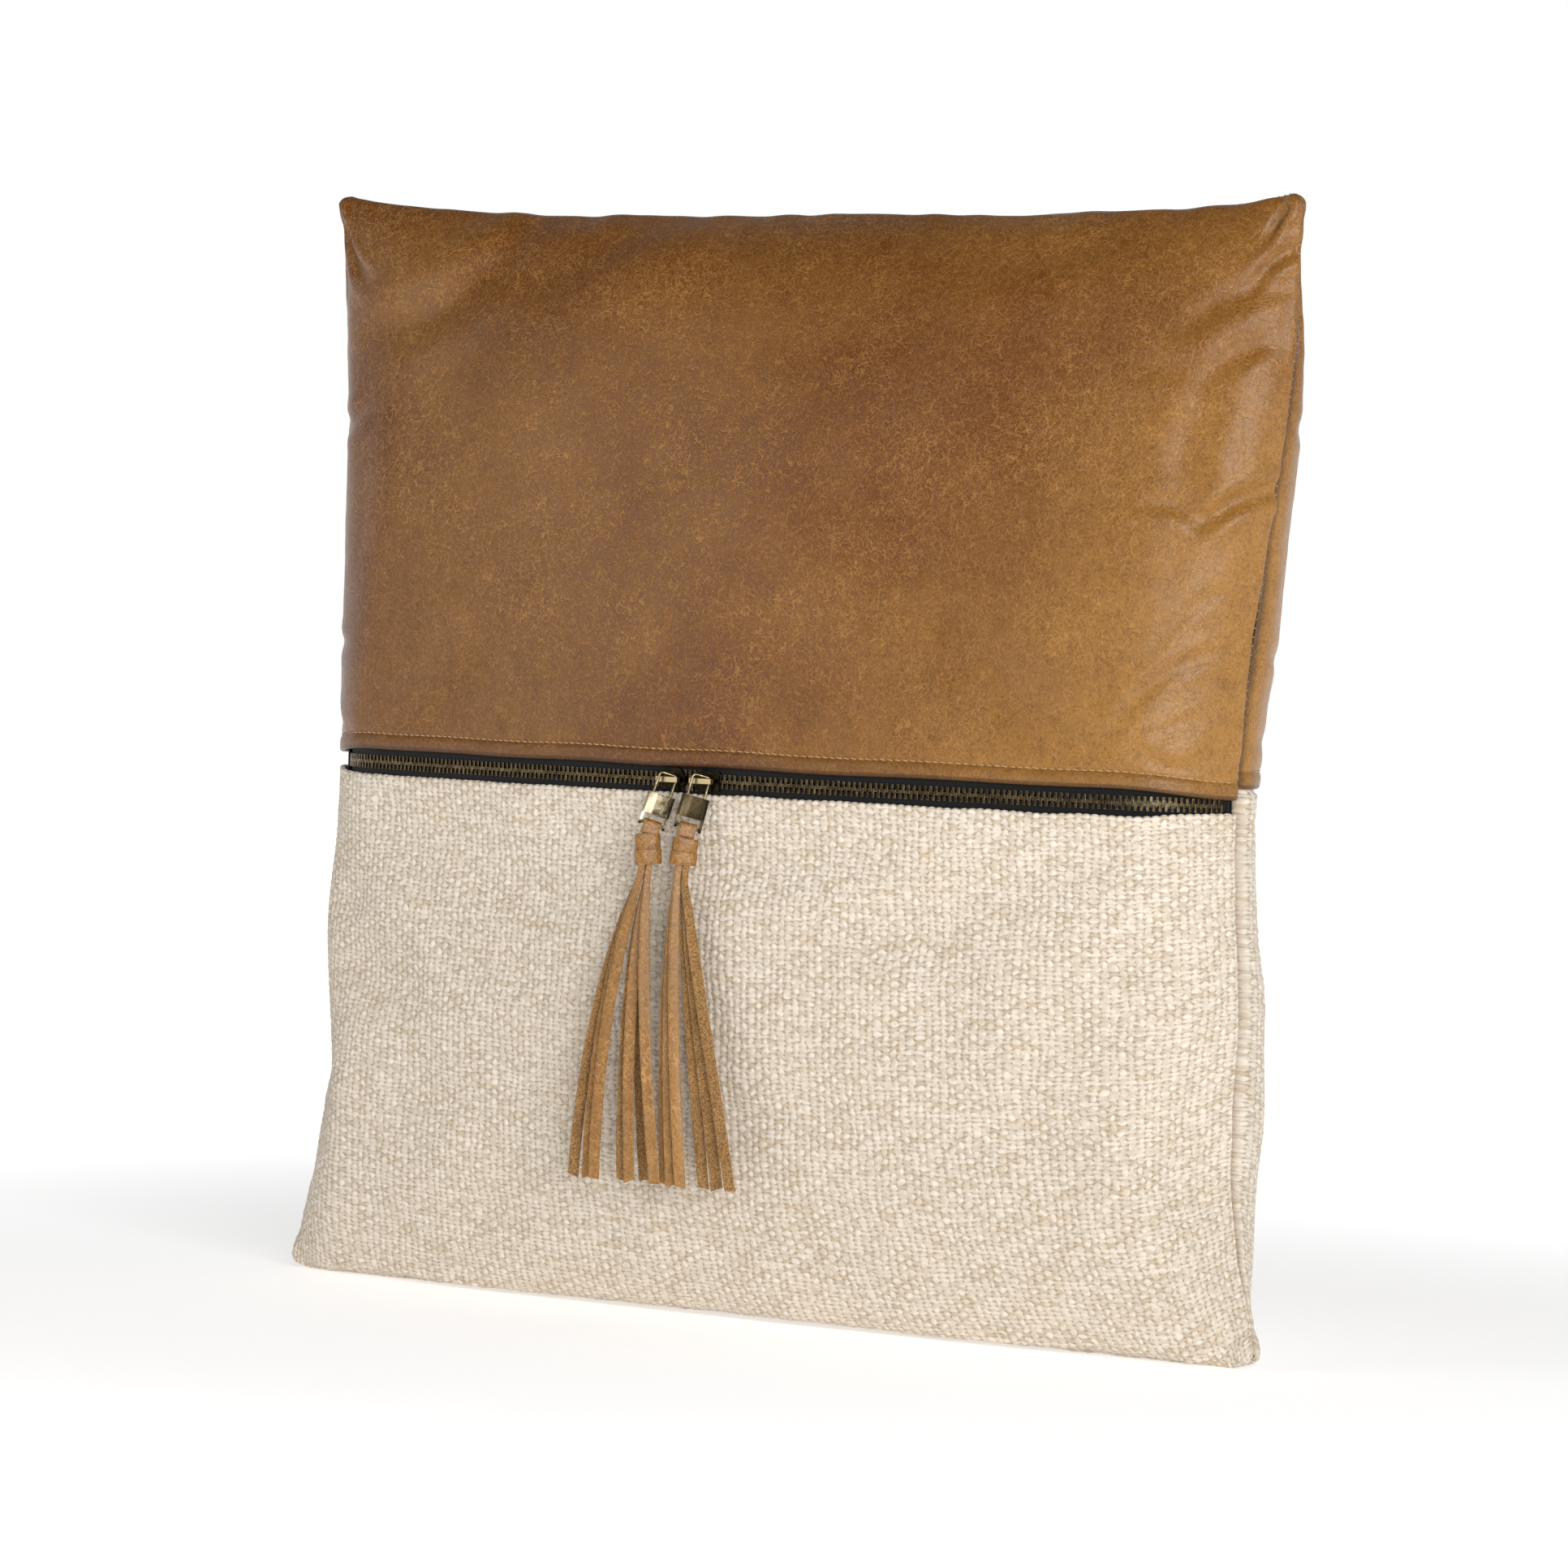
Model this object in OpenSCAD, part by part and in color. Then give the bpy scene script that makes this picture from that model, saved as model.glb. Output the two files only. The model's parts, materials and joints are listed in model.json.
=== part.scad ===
// Square throw pillow. The cover's upper half is leather and its lower half is a chunky weave.
// A metal zip with two sliders closes the front. Each slider carries a padlock-shaped pull
// and a leather tassel. A stuffed insert fills the cover.
// The pillow stands on its bottom edge. The seam plane is y = 0 and the front faces -y.

/* [Cover] */
// Height of the corner tips above the base
cover_h = 490; // [440:1:520]
// Height of the top seam halfway between the corners
top_mid_h = 470; // [425:1:500]
// Distance from the middle to the side seam, at mid height
side_half_w = 224; // [200:1:240]
// Extra reach of each corner tip beyond the side seam
ear_reach = 21; // [0:1:30]
// Leather thickness
leather_t = 2.0; // [1.2:0.1:2.4]
// Woven fabric thickness
fabric_t = 1.6; // [1:0.1:1.8]
// Share of the full depth that rests on the ground
base_share = 0.36; // [0.3:0.01:0.55]

/* [Zip] */
// Height of the zip's centre line
zip_z = 232; // [200:1:260]
// Half angle of the long front arc that the zip follows
front_half_angle = 14; // [12:0.5:16]
// Radius of the short arc beside each side seam
end_r = 50; // [40:1:60]
// Angle that the short arc has turned to at the side seam
end_angle = 75; // [70:1:80]
// Distance between teeth in one row
tooth_pitch = 2.52; // [2.4:0.01:3]
// Distance from the zip's centre line to the fabric's folded edge
fabric_gap = 5.5; // [5.5:0.1:8]
// Distance from the zip's centre line to the leather's folded edge
leather_gap = 5.9; // [5.5:0.1:9]
// Height of the back panels' joint above the zip's centre line
back_hem = 8; // [4:0.5:14]
// Where the two sliders meet, along the zip from its middle
meet_at = -4.5; // [-40:0.5:40]

/* [Sliders and pulls] */
// Distance between the two crown centres
slider_spacing = 17; // [14.6:0.1:20]
// Angle of each pull about the vertical
pull_yaw = 40; // [30:1:45]
// Angle of each pull away from the cover
pull_out = 4; // [3:0.5:8]
// Sideways lean of the left pull
left_lean = 14; // [0:1:14]
// Sideways lean of the right pull
right_lean = 11; // [0:1:14]
// Width of the padlock box
box_w = 11.8; // [10:0.1:12]
// Height of the padlock box
box_h = 9.2; // [8:0.1:10]

/* [Tassels] */
// Length of the strips below the collar
strip_l = 136; // [110:1:145]
// Width of one strip
strip_w = 5; // [4:0.1:5.2]
// Thickness of one strip
strip_t = 1.3; // [1:0.1:1.4]

/* [Hidden] */
$fn = 48;
SIDES = ["left", "right"];
STRIPS = 8;

LEATHER = [0.62, 0.41, 0.21];
FABRIC = [0.88, 0.84, 0.77];
TAPE = [0.07, 0.07, 0.08];
BRASS = [0.45, 0.36, 0.2];
TICKING = [0.95, 0.94, 0.9];

// ---- the zip's path, seen from above: one long arc and a short arc at each end ----
front_r = (side_half_w - end_r * (sin(end_angle) - sin(front_half_angle))) / sin(front_half_angle);
arc_y = (front_r - end_r) * cos(front_half_angle) + end_r * cos(end_angle);
front_len = front_r * front_half_angle * PI / 180;
end_len = end_r * (end_angle - front_half_angle) * PI / 180;
half_len = front_len + end_len;

// heading at a distance s along the zip from its middle
function heading(s) = abs(s) <= front_len
    ? s / front_r * 180 / PI
    : sign(s) * (front_half_angle + (abs(s) - front_len) / end_r * 180 / PI);

// point on the path at s, moved outward by out: [x, depth in front of the seam plane]
function path_point(s, out) =
    let (a = heading(s))
    abs(s) <= front_len
    ? [(front_r + out) * sin(a), (front_r + out) * cos(a) - arc_y]
    : [
        sign(s) * (front_r - end_r) * sin(front_half_angle) + (end_r + out) * sin(a),
        (front_r - end_r) * cos(front_half_angle) + (end_r + out) * cos(a) - arc_y
    ];

module on_path(s, out = 0) {
    p = path_point(s, out);
    translate([p[0], -p[1], zip_z]) rotate([0, 0, heading(s)]) children();
}

// ---- the pillow's shape, as functions of u (-1 to 1 across) and a height ----
base_round = 60;
base_drop = 0.4;
belly_power = 2.2;
top_power = 2.6;
top_round = 0.62;
top_dip_power = 6;
side_dip_power = 3.2;
seam_power = 8;
COLS = 14;
FRONT_COLS = 7;

function pick_u(i) =
    let (k = abs(i), c = front_len / half_len)
    sign(i) * (k <= FRONT_COLS ? c * k / FRONT_COLS : c + (1 - c) * (k - FRONT_COLS) / (COLS - FRONT_COLS));
U = [for (i = [-COLS:COLS]) pick_u(i)];

function top_z(u) = top_mid_h + (cover_h - top_mid_h) * pow(abs(u), top_dip_power);
function half_w(z) = side_half_w + ear_reach * pow(abs(2 * z / cover_h - 1), side_dip_power);
function low_share(z) =
    let (f = max(0, zip_z - z) / zip_z)
    1 - base_drop * pow(f, belly_power) - (1 - base_drop - base_share) * pow(max(0, 1 - z / base_round), 2);
function high_share(z, u, top) =
    pow(max(0, 1 - pow(max(0, z - zip_z) / (top - zip_z), top_power)), top_round);

// a point of the skin: share scales the depth, out moves it outward
function skin(u, z, out, share) =
    let (p = path_point(u * half_len, out), e = path_point(half_len, out))
    [p[0] * half_w(z) / side_half_w, -(p[1] - e[1] * pow(abs(u), seam_power)) * share, z];

// a closed shell between two grids of points with the same rows and columns
module shell(outer, inner) {
    rows = len(outer);
    cols = len(outer[0]);
    n = rows * cols;
    pts = concat([for (r = outer) for (p = r) p], [for (r = inner) for (p = r) p]);
    function at(r, c) = r * cols + c;
    // each cell is cut along the diagonal that points away from the middle, so no corner triangle is flat
    front = [for (r = [0:rows - 2]) for (c = [0:cols - 2])
        each c < cols / 2 - 1
            ? [[at(r, c), at(r + 1, c), at(r, c + 1)], [at(r, c + 1), at(r + 1, c), at(r + 1, c + 1)]]
            : [[at(r, c), at(r + 1, c), at(r + 1, c + 1)], [at(r, c), at(r + 1, c + 1), at(r, c + 1)]]];
    back = [for (f = front) [n + f[2], n + f[1], n + f[0]]];
    function wall(a, b) = [[a, b, n + b], [a, n + b, n + a]];
    edges = concat(
        [for (c = [0:cols - 2]) each wall(at(0, c), at(0, c + 1))],
        [for (c = [0:cols - 2]) each wall(at(rows - 1, c + 1), at(rows - 1, c))],
        [for (r = [0:rows - 2]) each wall(at(r + 1, 0), at(r, 0))],
        [for (r = [0:rows - 2]) each wall(at(r, cols - 1), at(r + 1, cols - 1))]
    );
    polyhedron(points = pts, faces = concat(front, back, edges), convexity = 6);
}

// ---- cover panels ----
cover_in = 0.65;
UP_ROWS = [0, .1, .22, .34, .46, .58, .69, .78, .86, .92, .965, 1];
LOW_ROWS = [4, 10, 19, 31, 46, 70, 100, 135, 170, 200];

module leather_panel(gap) {
    hem = zip_z + gap;
    function grid(out, drop) = [for (f = UP_ROWS) [for (u = U)
        let (top = top_z(u), z = hem + (top - hem) * f)
        skin(u, z - drop * f, out, f == 1 ? 0 : high_share(z, u, top))]];
    color(LEATHER) shell(grid(cover_in + leather_t, 0), grid(cover_in, leather_t));
}

module fabric_panel(gap) {
    hem = zip_z + gap;
    function grid(out, lift) = concat(
        [for (k = [0, 0.5, 1]) [for (u = U) skin(u, lift, out, k * low_share(0))]],
        [for (z = concat(LOW_ROWS, [hem])) [for (u = U)
            skin(u, lift + (hem - lift) * z / hem, out, low_share(z))]]
    );
    color(FABRIC) shell(grid(cover_in + fabric_t, 0), grid(cover_in, fabric_t));
}

module front_leather_panel() { leather_panel(leather_gap); }
module back_leather_panel() { mirror([0, 1, 0]) leather_panel(back_hem); }
module front_fabric_panel() { fabric_panel(-fabric_gap); }
module back_fabric_panel() { mirror([0, 1, 0]) fabric_panel(back_hem); }

// ---- insert ----
ticking_t = 0.8;
insert_in = -7;
insert_base = 4;
insert_top = 7;
FULL_ROWS = [.03, .07, .13, .2, .28, .37, .46, .55, .64, .72, .79, .85, .9, .94, .97, 1];

function insert_grid(out, base, gap, edge = 0) = concat(
    [for (k = [0, 0.5, 1]) [for (u = U)
        skin(u, base, out, k * low_share(0)) - [0, edge, 0]]],
    [for (f = FULL_ROWS) [for (u = U)
        let (top = top_z(u) - gap, z = base + (top - base) * f)
        skin(u, z, out, z < zip_z ? low_share(z) : f == 1 ? 0 : high_share(z, u, top)) - [0, edge, 0]]]
);
function mirrored(grid) = [for (r = grid) [for (p = r) [p[0], -p[1], p[2]]]];

module insert_panel() {
    color(TICKING)
        shell(insert_grid(insert_in, insert_base, insert_top),
            insert_grid(insert_in - ticking_t, insert_base + ticking_t, insert_top + ticking_t));
}

module insert_front_panel() { insert_panel(); }
module insert_back_panel() { mirror([0, 1, 0]) insert_panel(); }

module insert_filling() {
    fill_in = -12;
    fill_base = 8;
    fill_top = 14;
    edge = 0.6;
    half = insert_grid(fill_in, fill_base, fill_top, edge);
    color("white") shell(half, mirrored(half));
}

// ---- zip tapes and teeth ----
tape_t = 0.6;
tape_w = 15;
tape_edge = 1.5;
tooth_t = 2.5;
tooth_w = 1.1;
tooth_tip = 0.65;
tooth_back = 3;
tooth_open = 1.4;
open_from = 4;
open_to = 12.4;
tape_angle = end_angle - 3;
bite = 0.05;

module tape(side) {
    module strip() translate([-tape_t / 2, 0]) square([tape_t, tape_w - tape_edge]);
    low = side > 0 ? tape_edge : -tape_w;
    color(TAPE) difference() {
        union() {
            translate([0, arc_y, zip_z + low])
                rotate([0, 0, -90 - front_half_angle])
                    rotate_extrude(angle = 2 * front_half_angle, $fn = 400)
                        translate([front_r, 0]) strip();
            for (m = [0, 1]) mirror([m, 0, 0])
                translate([
                    (front_r - end_r) * sin(front_half_angle),
                    arc_y - (front_r - end_r) * cos(front_half_angle),
                    zip_z + low
                ])
                    rotate([0, 0, -90 + front_half_angle])
                        rotate_extrude(angle = tape_angle - front_half_angle, $fn = 120)
                            translate([end_r, 0]) strip();
        }
        on_path(meet_at)
            translate([0, 0, side * (tape_edge + tooth_open) / 2])
                cube([2 * open_to + 1, 12, tape_edge + tooth_open + 0.1], center = true);
    }
}

// the rows part between the two sliders
function parting(s) =
    let (f = max(0, min(1, (open_to - abs(s - meet_at)) / (open_to - open_from))))
    tooth_open * f * f * (3 - 2 * f);

module tooth() {
    rotate([90, 0, 90]) linear_extrude(tooth_w, center = true) polygon([
        [-tooth_t / 2, -tooth_tip],
        [tooth_t / 2, -tooth_tip],
        [tooth_t / 2, tooth_back],
        [tape_t / 2 + bite, tooth_back],
        [tape_t / 2 + bite, tape_edge - bite],
        [-tape_t / 2 - bite, tape_edge - bite],
        [-tape_t / 2 - bite, tooth_back],
        [-tooth_t / 2, tooth_back]
    ]);
}

module teeth(side) {
    last = floor((half_len - 6) / tooth_pitch);
    color(BRASS) for (i = [-last:last]) {
        s = (i + (side > 0 ? 0 : 0.5)) * tooth_pitch;
        on_path(s) mirror([0, 0, side > 0 ? 0 : 1]) translate([0, 0, parting(s)]) tooth();
    }
}

module zipper_tape_upper() { tape(1); }
module zipper_tape_lower() { tape(-1); }
module zipper_teeth_upper() { teeth(1); }
module zipper_teeth_lower() { teeth(-1); }

// ---- sliders: x points at the nose, -y faces out ----
plate_t = 1.1;
cavity = 1.4;
tail_x = -6.75;
nose_x = 6.75;
tail_half = 3.9;
shoulder_half = 5.2;
wall = 0.6;
slot_half = 0.6;
bar_off = 3.9;
bar_l = 11;
bar_h = 2.6;
bar_t = 1.4;
window_half = 4.2;
post_h = 2.2;
post_sink = 0.2;
bar_y = -(cavity + plate_t + bar_off);

module slider_outline(inset = 0) {
    half = [
        [tail_x, tail_half - inset],
        [-1.5, 4.1 - inset],
        [2.2, shoulder_half - inset],
        [3.6, shoulder_half - 0.5 - inset],
        [nose_x, 1.3]
    ];
    polygon(concat(half, [for (i = [len(half) - 1:-1:0]) [half[i][0], -half[i][1]]]));
}

module slider_plate(y0) {
    translate([0, y0, 0]) rotate([90, 0, 0]) linear_extrude(plate_t) slider_outline();
}

module slider() {
    color(BRASS) union() {
        slider_plate(-cavity);
        slider_plate(cavity + plate_t);
        for (y = [-cavity, slot_half]) for (m = [0, 1]) mirror([0, 0, m])
            translate([0, y + (cavity - slot_half), 0]) rotate([90, 0, 0])
                linear_extrude(cavity - slot_half) polygon([
                    [tail_x, tail_half - wall],
                    [-1.5, 4.1 - wall],
                    [2.2, shoulder_half - wall],
                    [2.2, shoulder_half],
                    [-1.5, 4.1],
                    [tail_x, tail_half]
                ]);
        translate([0, cavity, 0]) rotate([90, 0, 0])
            linear_extrude(2 * cavity) polygon([[0.6, 0], [3.8, 0.6], [6.2, 0.6], [6.2, -0.6], [3.8, -0.6]]);
        translate([0, bar_y, 0]) intersection() {
            rotate([0, 90, 0]) cylinder(r = bar_h / 2, h = bar_l, center = true);
            cube([bar_l, bar_t, bar_h], center = true);
        }
        for (m = [0, 1]) mirror([m, 0, 0])
            translate([window_half, bar_y, -post_h / 2])
                cube([bar_l / 2 - window_half, bar_off + post_sink, post_h]);
    }
}

function side_sign(side) = side == "left" ? -1 : 1;
function side_s(side) = meet_at + side_sign(side) * slider_spacing / 2;

module slider_node(side) {
    on_path(side_s(side)) mirror([side == "left" ? 0 : 1, 0, 0]) slider();
}

// ---- pulls: the origin is the crown bar's middle ----
wire_r = 0.625;
leg_half = 3.75;
shackle_top = 2.3;
shackle_r = 1.5;
box_top = -7;
box_d = 3.5;
ear_t = 1.1;
ear_r = 1.3;
pin_r = 0.7;
pin_drop = box_h - box_top + 4.1;
socket_l = 2;
fit = 0.05;

function lean(side) = side == "left" ? left_lean : right_lean;

module at_bar(side) { on_path(side_s(side)) translate([0, bar_y, 0]) children(); }
module pull_frame(side) {
    at_bar(side) rotate([-pull_out, 0, 0]) rotate([0, 0, pull_yaw]) rotate([0, lean(side), 0]) children();
}

module shackle() {
    leg_l = shackle_top - shackle_r - box_top + socket_l - 0.1;
    color(BRASS) union() {
        for (m = [0, 1]) mirror([m, 0, 0]) {
            translate([leg_half, 0, box_top - socket_l + 0.1]) cylinder(r = wire_r, h = leg_l);
            translate([leg_half - shackle_r, 0, shackle_top - shackle_r]) rotate([90, 0, 0])
                rotate_extrude(angle = 90) translate([shackle_r, 0]) circle(wire_r);
        }
        translate([-leg_half + shackle_r, 0, shackle_top]) rotate([0, 90, 0])
            cylinder(r = wire_r, h = 2 * (leg_half - shackle_r));
    }
}

module pull_box() {
    front_curve = 24;
    color(BRASS) difference() {
        union() {
            translate([0, 0, box_top - box_h]) linear_extrude(box_h) intersection() {
                square([box_w, box_d], center = true);
                translate([0, front_curve - box_d / 2]) circle(front_curve, $fn = 160);
            }
            for (x = [-box_w / 2, box_w / 2 - ear_t]) {
                translate([x, -ear_r, -pin_drop]) cube([ear_t, 2 * ear_r, pin_drop + box_top - box_h]);
                translate([x, 0, -pin_drop]) rotate([0, 90, 0]) cylinder(r = ear_r, h = ear_t);
            }
        }
        for (x = [-leg_half, leg_half])
            translate([x, 0, box_top - socket_l]) cylinder(r = wire_r + fit, h = socket_l + 1);
        translate([-box_w, 0, -pin_drop]) rotate([0, 90, 0]) cylinder(r = pin_r + fit, h = 2 * box_w);
    }
}

module pull_pin() {
    color(BRASS) translate([-box_w / 2, 0, -pin_drop]) rotate([0, 90, 0]) cylinder(r = pin_r, h = box_w);
}

// ---- tassels: they hang straight down from the pin ----
loop_w = 7.4;
loop_in = 0.78;
loop_out = 1.95;
loop_leg = 4.2;
collar_w = 10.6;
collar_d = 7.6;
collar_wall = 1.1;
band_h = 5.8;
collar_r = 2.2;
collar_top = loop_leg + 0.6;
lower_band_grow = 0.7;

module tassel_loop() {
    color(LEATHER) translate([0, 0, -pin_drop]) rotate([90, 0, 90])
        linear_extrude(loop_w, center = true) difference() {
            union() {
                circle(loop_out);
                translate([-loop_out, -loop_leg]) square([2 * loop_out, loop_leg]);
            }
            circle(loop_in);
            translate([-loop_in, -loop_leg - 1]) square([2 * loop_in, loop_leg + 1]);
        }
}

// the pin's middle, measured from the crown bar's middle
function pin_at(side) =
    let (
        b = lean(side),
        x = -pin_drop * sin(b) * cos(pull_yaw),
        y = -pin_drop * sin(b) * sin(pull_yaw),
        z = -pin_drop * cos(b)
    )
    [x, y * cos(pull_out) + z * sin(pull_out), z * cos(pull_out) - y * sin(pull_out)];

module round_rect(w, d, r) {
    square([w - 2 * r, d], center = true);
    square([w, d - 2 * r], center = true);
    for (x = [-1, 1]) for (y = [-1, 1]) translate([x * (w / 2 - r), y * (d / 2 - r)]) circle(r);
}

module collar_band(grow, low) {
    translate([0, 0, low]) linear_extrude(band_h) difference() {
        round_rect(collar_w + grow, collar_d + grow, collar_r);
        round_rect(collar_w - 2 * collar_wall, collar_d - 2 * collar_wall, collar_r - collar_wall);
    }
}

module tassel_collar(side) {
    color(LEATHER) translate(pin_at(side)) rotate([0, 0, pull_yaw]) rotate([0, lean(side) / 2, 0]) {
        collar_band(0, -collar_top - band_h);
        collar_band(lower_band_grow, -collar_top - 2 * band_h);
    }
}

// Where each strip ends: [x, y, turn about the vertical]. Strips 1 and 2 lie in front, 7 and 8 behind.
LEFT_ENDS = [
    [-20, -4, 28], [11, -3, 28], [-26, -0.5, 24], [-3, -1.5, 27],
    [-34, 0.5, 39], [-8, 0.5, 24], [-31, 9.5, 21], [-2, 10, 24]
];
RIGHT_ENDS = [
    [7, -5, 28], [31, -3, 22], [0, -1.5, 33], [22, 0.5, 22],
    [-5, 1.5, 29], [15, 1, 21], [-3, 9, 25], [18, 9, 20]
];
STRIP_RINGS = 12;
collar_tail = 6;
gather_w = 2.9;
gather_t = 0.95;
fan_from = 12;
widen_over = 28;
column_step = 3.2;
layer_step = 1.25;

// a strip's section, dist below its top: four corners about [x, y, z]
function strip_ring(side, i, dist) =
    let (
        end = (side == "left" ? LEFT_ENDS : RIGHT_ENDS)[i],
        full = strip_l + collar_tail,
        f = max(0, dist - fan_from) / (full - fan_from),
        e = f * (1.35 - 0.35 * f),
        g = max(0, min(1, (dist - fan_from) / widen_over)),
        w = gather_w + (strip_w - gather_w) * g,
        t = gather_t + (strip_t - gather_t) * g,
        col = (i % 2 - 0.5) * column_step,
        layer = (floor(i / 2) - 1.5) * layer_step,
        q = lean(side) / 2,
        drop = collar_top + 2 * band_h - collar_tail + dist,
        a0 = pull_yaw,
        sx = (col - drop * sin(q)) * cos(a0) - layer * sin(a0),
        sy = (col - drop * sin(q)) * sin(a0) + layer * cos(a0),
        a = a0 + (end[2] - a0) * e,
        x = sx + (end[0] - sx) * e,
        y = sy + (end[1] - sy) * e
    )
    [for (c = [[-1, -1], [1, -1], [1, 1], [-1, 1]])
        [
            x + c[0] * w / 2 * cos(a) - c[1] * t / 2 * sin(a),
            y + c[0] * w / 2 * sin(a) + c[1] * t / 2 * cos(a),
            -drop
        ]];

module tassel_strip(side, i) {
    n = STRIP_RINGS;
    full = strip_l + collar_tail;
    rings = [for (k = [0:n]) strip_ring(side, i, full * k / n)];
    pts = [for (r = rings) for (p = r) p];
    sides = [for (k = [0:n - 1]) for (c = [0:3])
        let (a = 4 * k + c, b = 4 * k + (c + 1) % 4)
        each [[a, b, b + 4], [a, b + 4, a + 4]]];
    tip = [for (c = [0:3]) 4 * n + c];
    color(LEATHER) translate(pin_at(side))
        polyhedron(points = pts, faces = concat([[3, 2, 1, 0]], sides, [tip]));
}

front_leather_panel();
back_leather_panel();
front_fabric_panel();
back_fabric_panel();
zipper_tape_upper();
zipper_tape_lower();
zipper_teeth_upper();
zipper_teeth_lower();
insert_front_panel();
insert_back_panel();
insert_filling();
for (s = SIDES) {
    slider_node(s);
    pull_frame(s) shackle();
    pull_frame(s) pull_box();
    pull_frame(s) pull_pin();
    pull_frame(s) tassel_loop();
    at_bar(s) tassel_collar(s);
    for (i = [1:STRIPS])
        at_bar(s) tassel_strip(s, i - 1);
}
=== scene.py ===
import json
import math

import bpy
import numpy as np
from mathutils import Matrix, Vector


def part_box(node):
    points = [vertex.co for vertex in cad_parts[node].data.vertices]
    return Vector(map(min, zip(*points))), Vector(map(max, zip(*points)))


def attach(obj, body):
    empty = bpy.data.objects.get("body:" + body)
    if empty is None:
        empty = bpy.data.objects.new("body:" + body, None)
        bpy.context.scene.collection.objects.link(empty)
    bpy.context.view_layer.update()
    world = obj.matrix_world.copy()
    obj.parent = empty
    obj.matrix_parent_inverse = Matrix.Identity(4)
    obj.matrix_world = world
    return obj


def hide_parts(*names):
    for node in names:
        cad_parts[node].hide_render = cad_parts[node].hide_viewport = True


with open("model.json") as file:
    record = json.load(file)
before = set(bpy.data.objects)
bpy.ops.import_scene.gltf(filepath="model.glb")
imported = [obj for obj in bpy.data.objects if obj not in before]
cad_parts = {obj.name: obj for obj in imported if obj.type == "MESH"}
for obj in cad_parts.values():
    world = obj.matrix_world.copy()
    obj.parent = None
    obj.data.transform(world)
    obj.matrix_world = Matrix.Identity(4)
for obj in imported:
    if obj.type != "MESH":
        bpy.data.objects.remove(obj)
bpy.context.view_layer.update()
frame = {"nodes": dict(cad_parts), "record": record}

# ---- sizes, in metres
MM = 0.001
JOINTS = {j["name"]: j for j in frame["record"]["behaviour"]["joints"]}
ARC_Y = JOINTS["slider_left_travel"]["pos_m"][1]
ZIP_Z = JOINTS["slider_left_travel"]["pos_m"][2]
TOOTH_T = 2.5 * MM
FRONT_R = ARC_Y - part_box("zipper_teeth_upper")[0].y - TOOTH_T / 2
END_R = 50 * MM
FRONT_ANGLE = math.radians(14)
END_ANGLE = math.radians(75)
SIDE_HALF = (FRONT_R - END_R) * math.sin(FRONT_ANGLE) + END_R * math.sin(END_ANGLE)
COVER_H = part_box("front_leather_panel")[1].z
TIP_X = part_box("front_leather_panel")[1].x
FLAT_W = 496 * MM        # the cover's finished width, laid flat
FLAT_LOW = 256 * MM      # from the base seam up to the zip's centre line, laid flat
FLAT_HIGH = 252 * MM     # from there up to the top seam
FLAT_H = FLAT_LOW + FLAT_HIGH
SKIN = 2.4 * MM          # the cover's outer face stands this far outside the zip's centre line


# ---- the zip's path
def path(s, out=0.0):
    """Points [x, y, 0] at distances s along the zip's path moved outward by out, and the headings there."""
    s = np.asarray(s, float)
    long_arc = (FRONT_R + out) * FRONT_ANGLE
    past = np.maximum(np.abs(s) - long_arc, 0)
    turn = np.minimum(np.abs(s), long_arc) / (FRONT_R + out) + past / (END_R + out)
    r = np.where(past > 0, END_R + out, FRONT_R + out)
    cx = np.where(past > 0, (FRONT_R - END_R) * math.sin(FRONT_ANGLE), 0)
    cy = np.where(past > 0, (FRONT_R - END_R) * math.cos(FRONT_ANGLE) - ARC_Y, -ARC_Y)
    x = np.sign(s) * (cx + r * np.sin(turn))
    depth = cy + r * np.cos(turn)
    return np.stack([x, -depth, np.zeros_like(x)], -1), np.sign(s) * turn


# ---- the cover's shape before it is filled
BASE_SHARE = 0.36         # the pressed base's depth, as a share of the depth at the zip
BASE_DROP = 0.4           # how much of that depth is lost on the way down, before the base's own rounding
BASE_ROUND = 60 * MM
TOP_MID = 470 * MM        # the top seam's height in the middle, where it sags
BASE_STEPS = 8            # points across the pressed base


def low_share(z):
    f = np.maximum(0, ZIP_Z - z) / ZIP_Z
    return 1 - BASE_DROP * f**2.2 - (1 - BASE_DROP - BASE_SHARE) * np.maximum(0, 1 - z / BASE_ROUND) ** 2


def high_share(z, top):
    f = np.clip((z - ZIP_Z) / (top - ZIP_Z), 0, 1)
    return np.maximum(0, 1 - f**2.6) ** 0.62


def half_width(z):
    return SIDE_HALF + (TIP_X - SIDE_HALF) * np.abs(2 * z / COVER_H - 1) ** 3.2


CELLS = 84
ROWS = np.concatenate([np.linspace(0, FLAT_LOW - 8 * MM, 42), [FLAT_LOW],
                       np.linspace(FLAT_LOW + 8 * MM, FLAT_H, 42)])
BAND = (41, 43)                             # the rows that the zip holds
ZIP_HALF = 492.2 * MM / 2                   # half the zip's length along the cover's outer face


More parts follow.
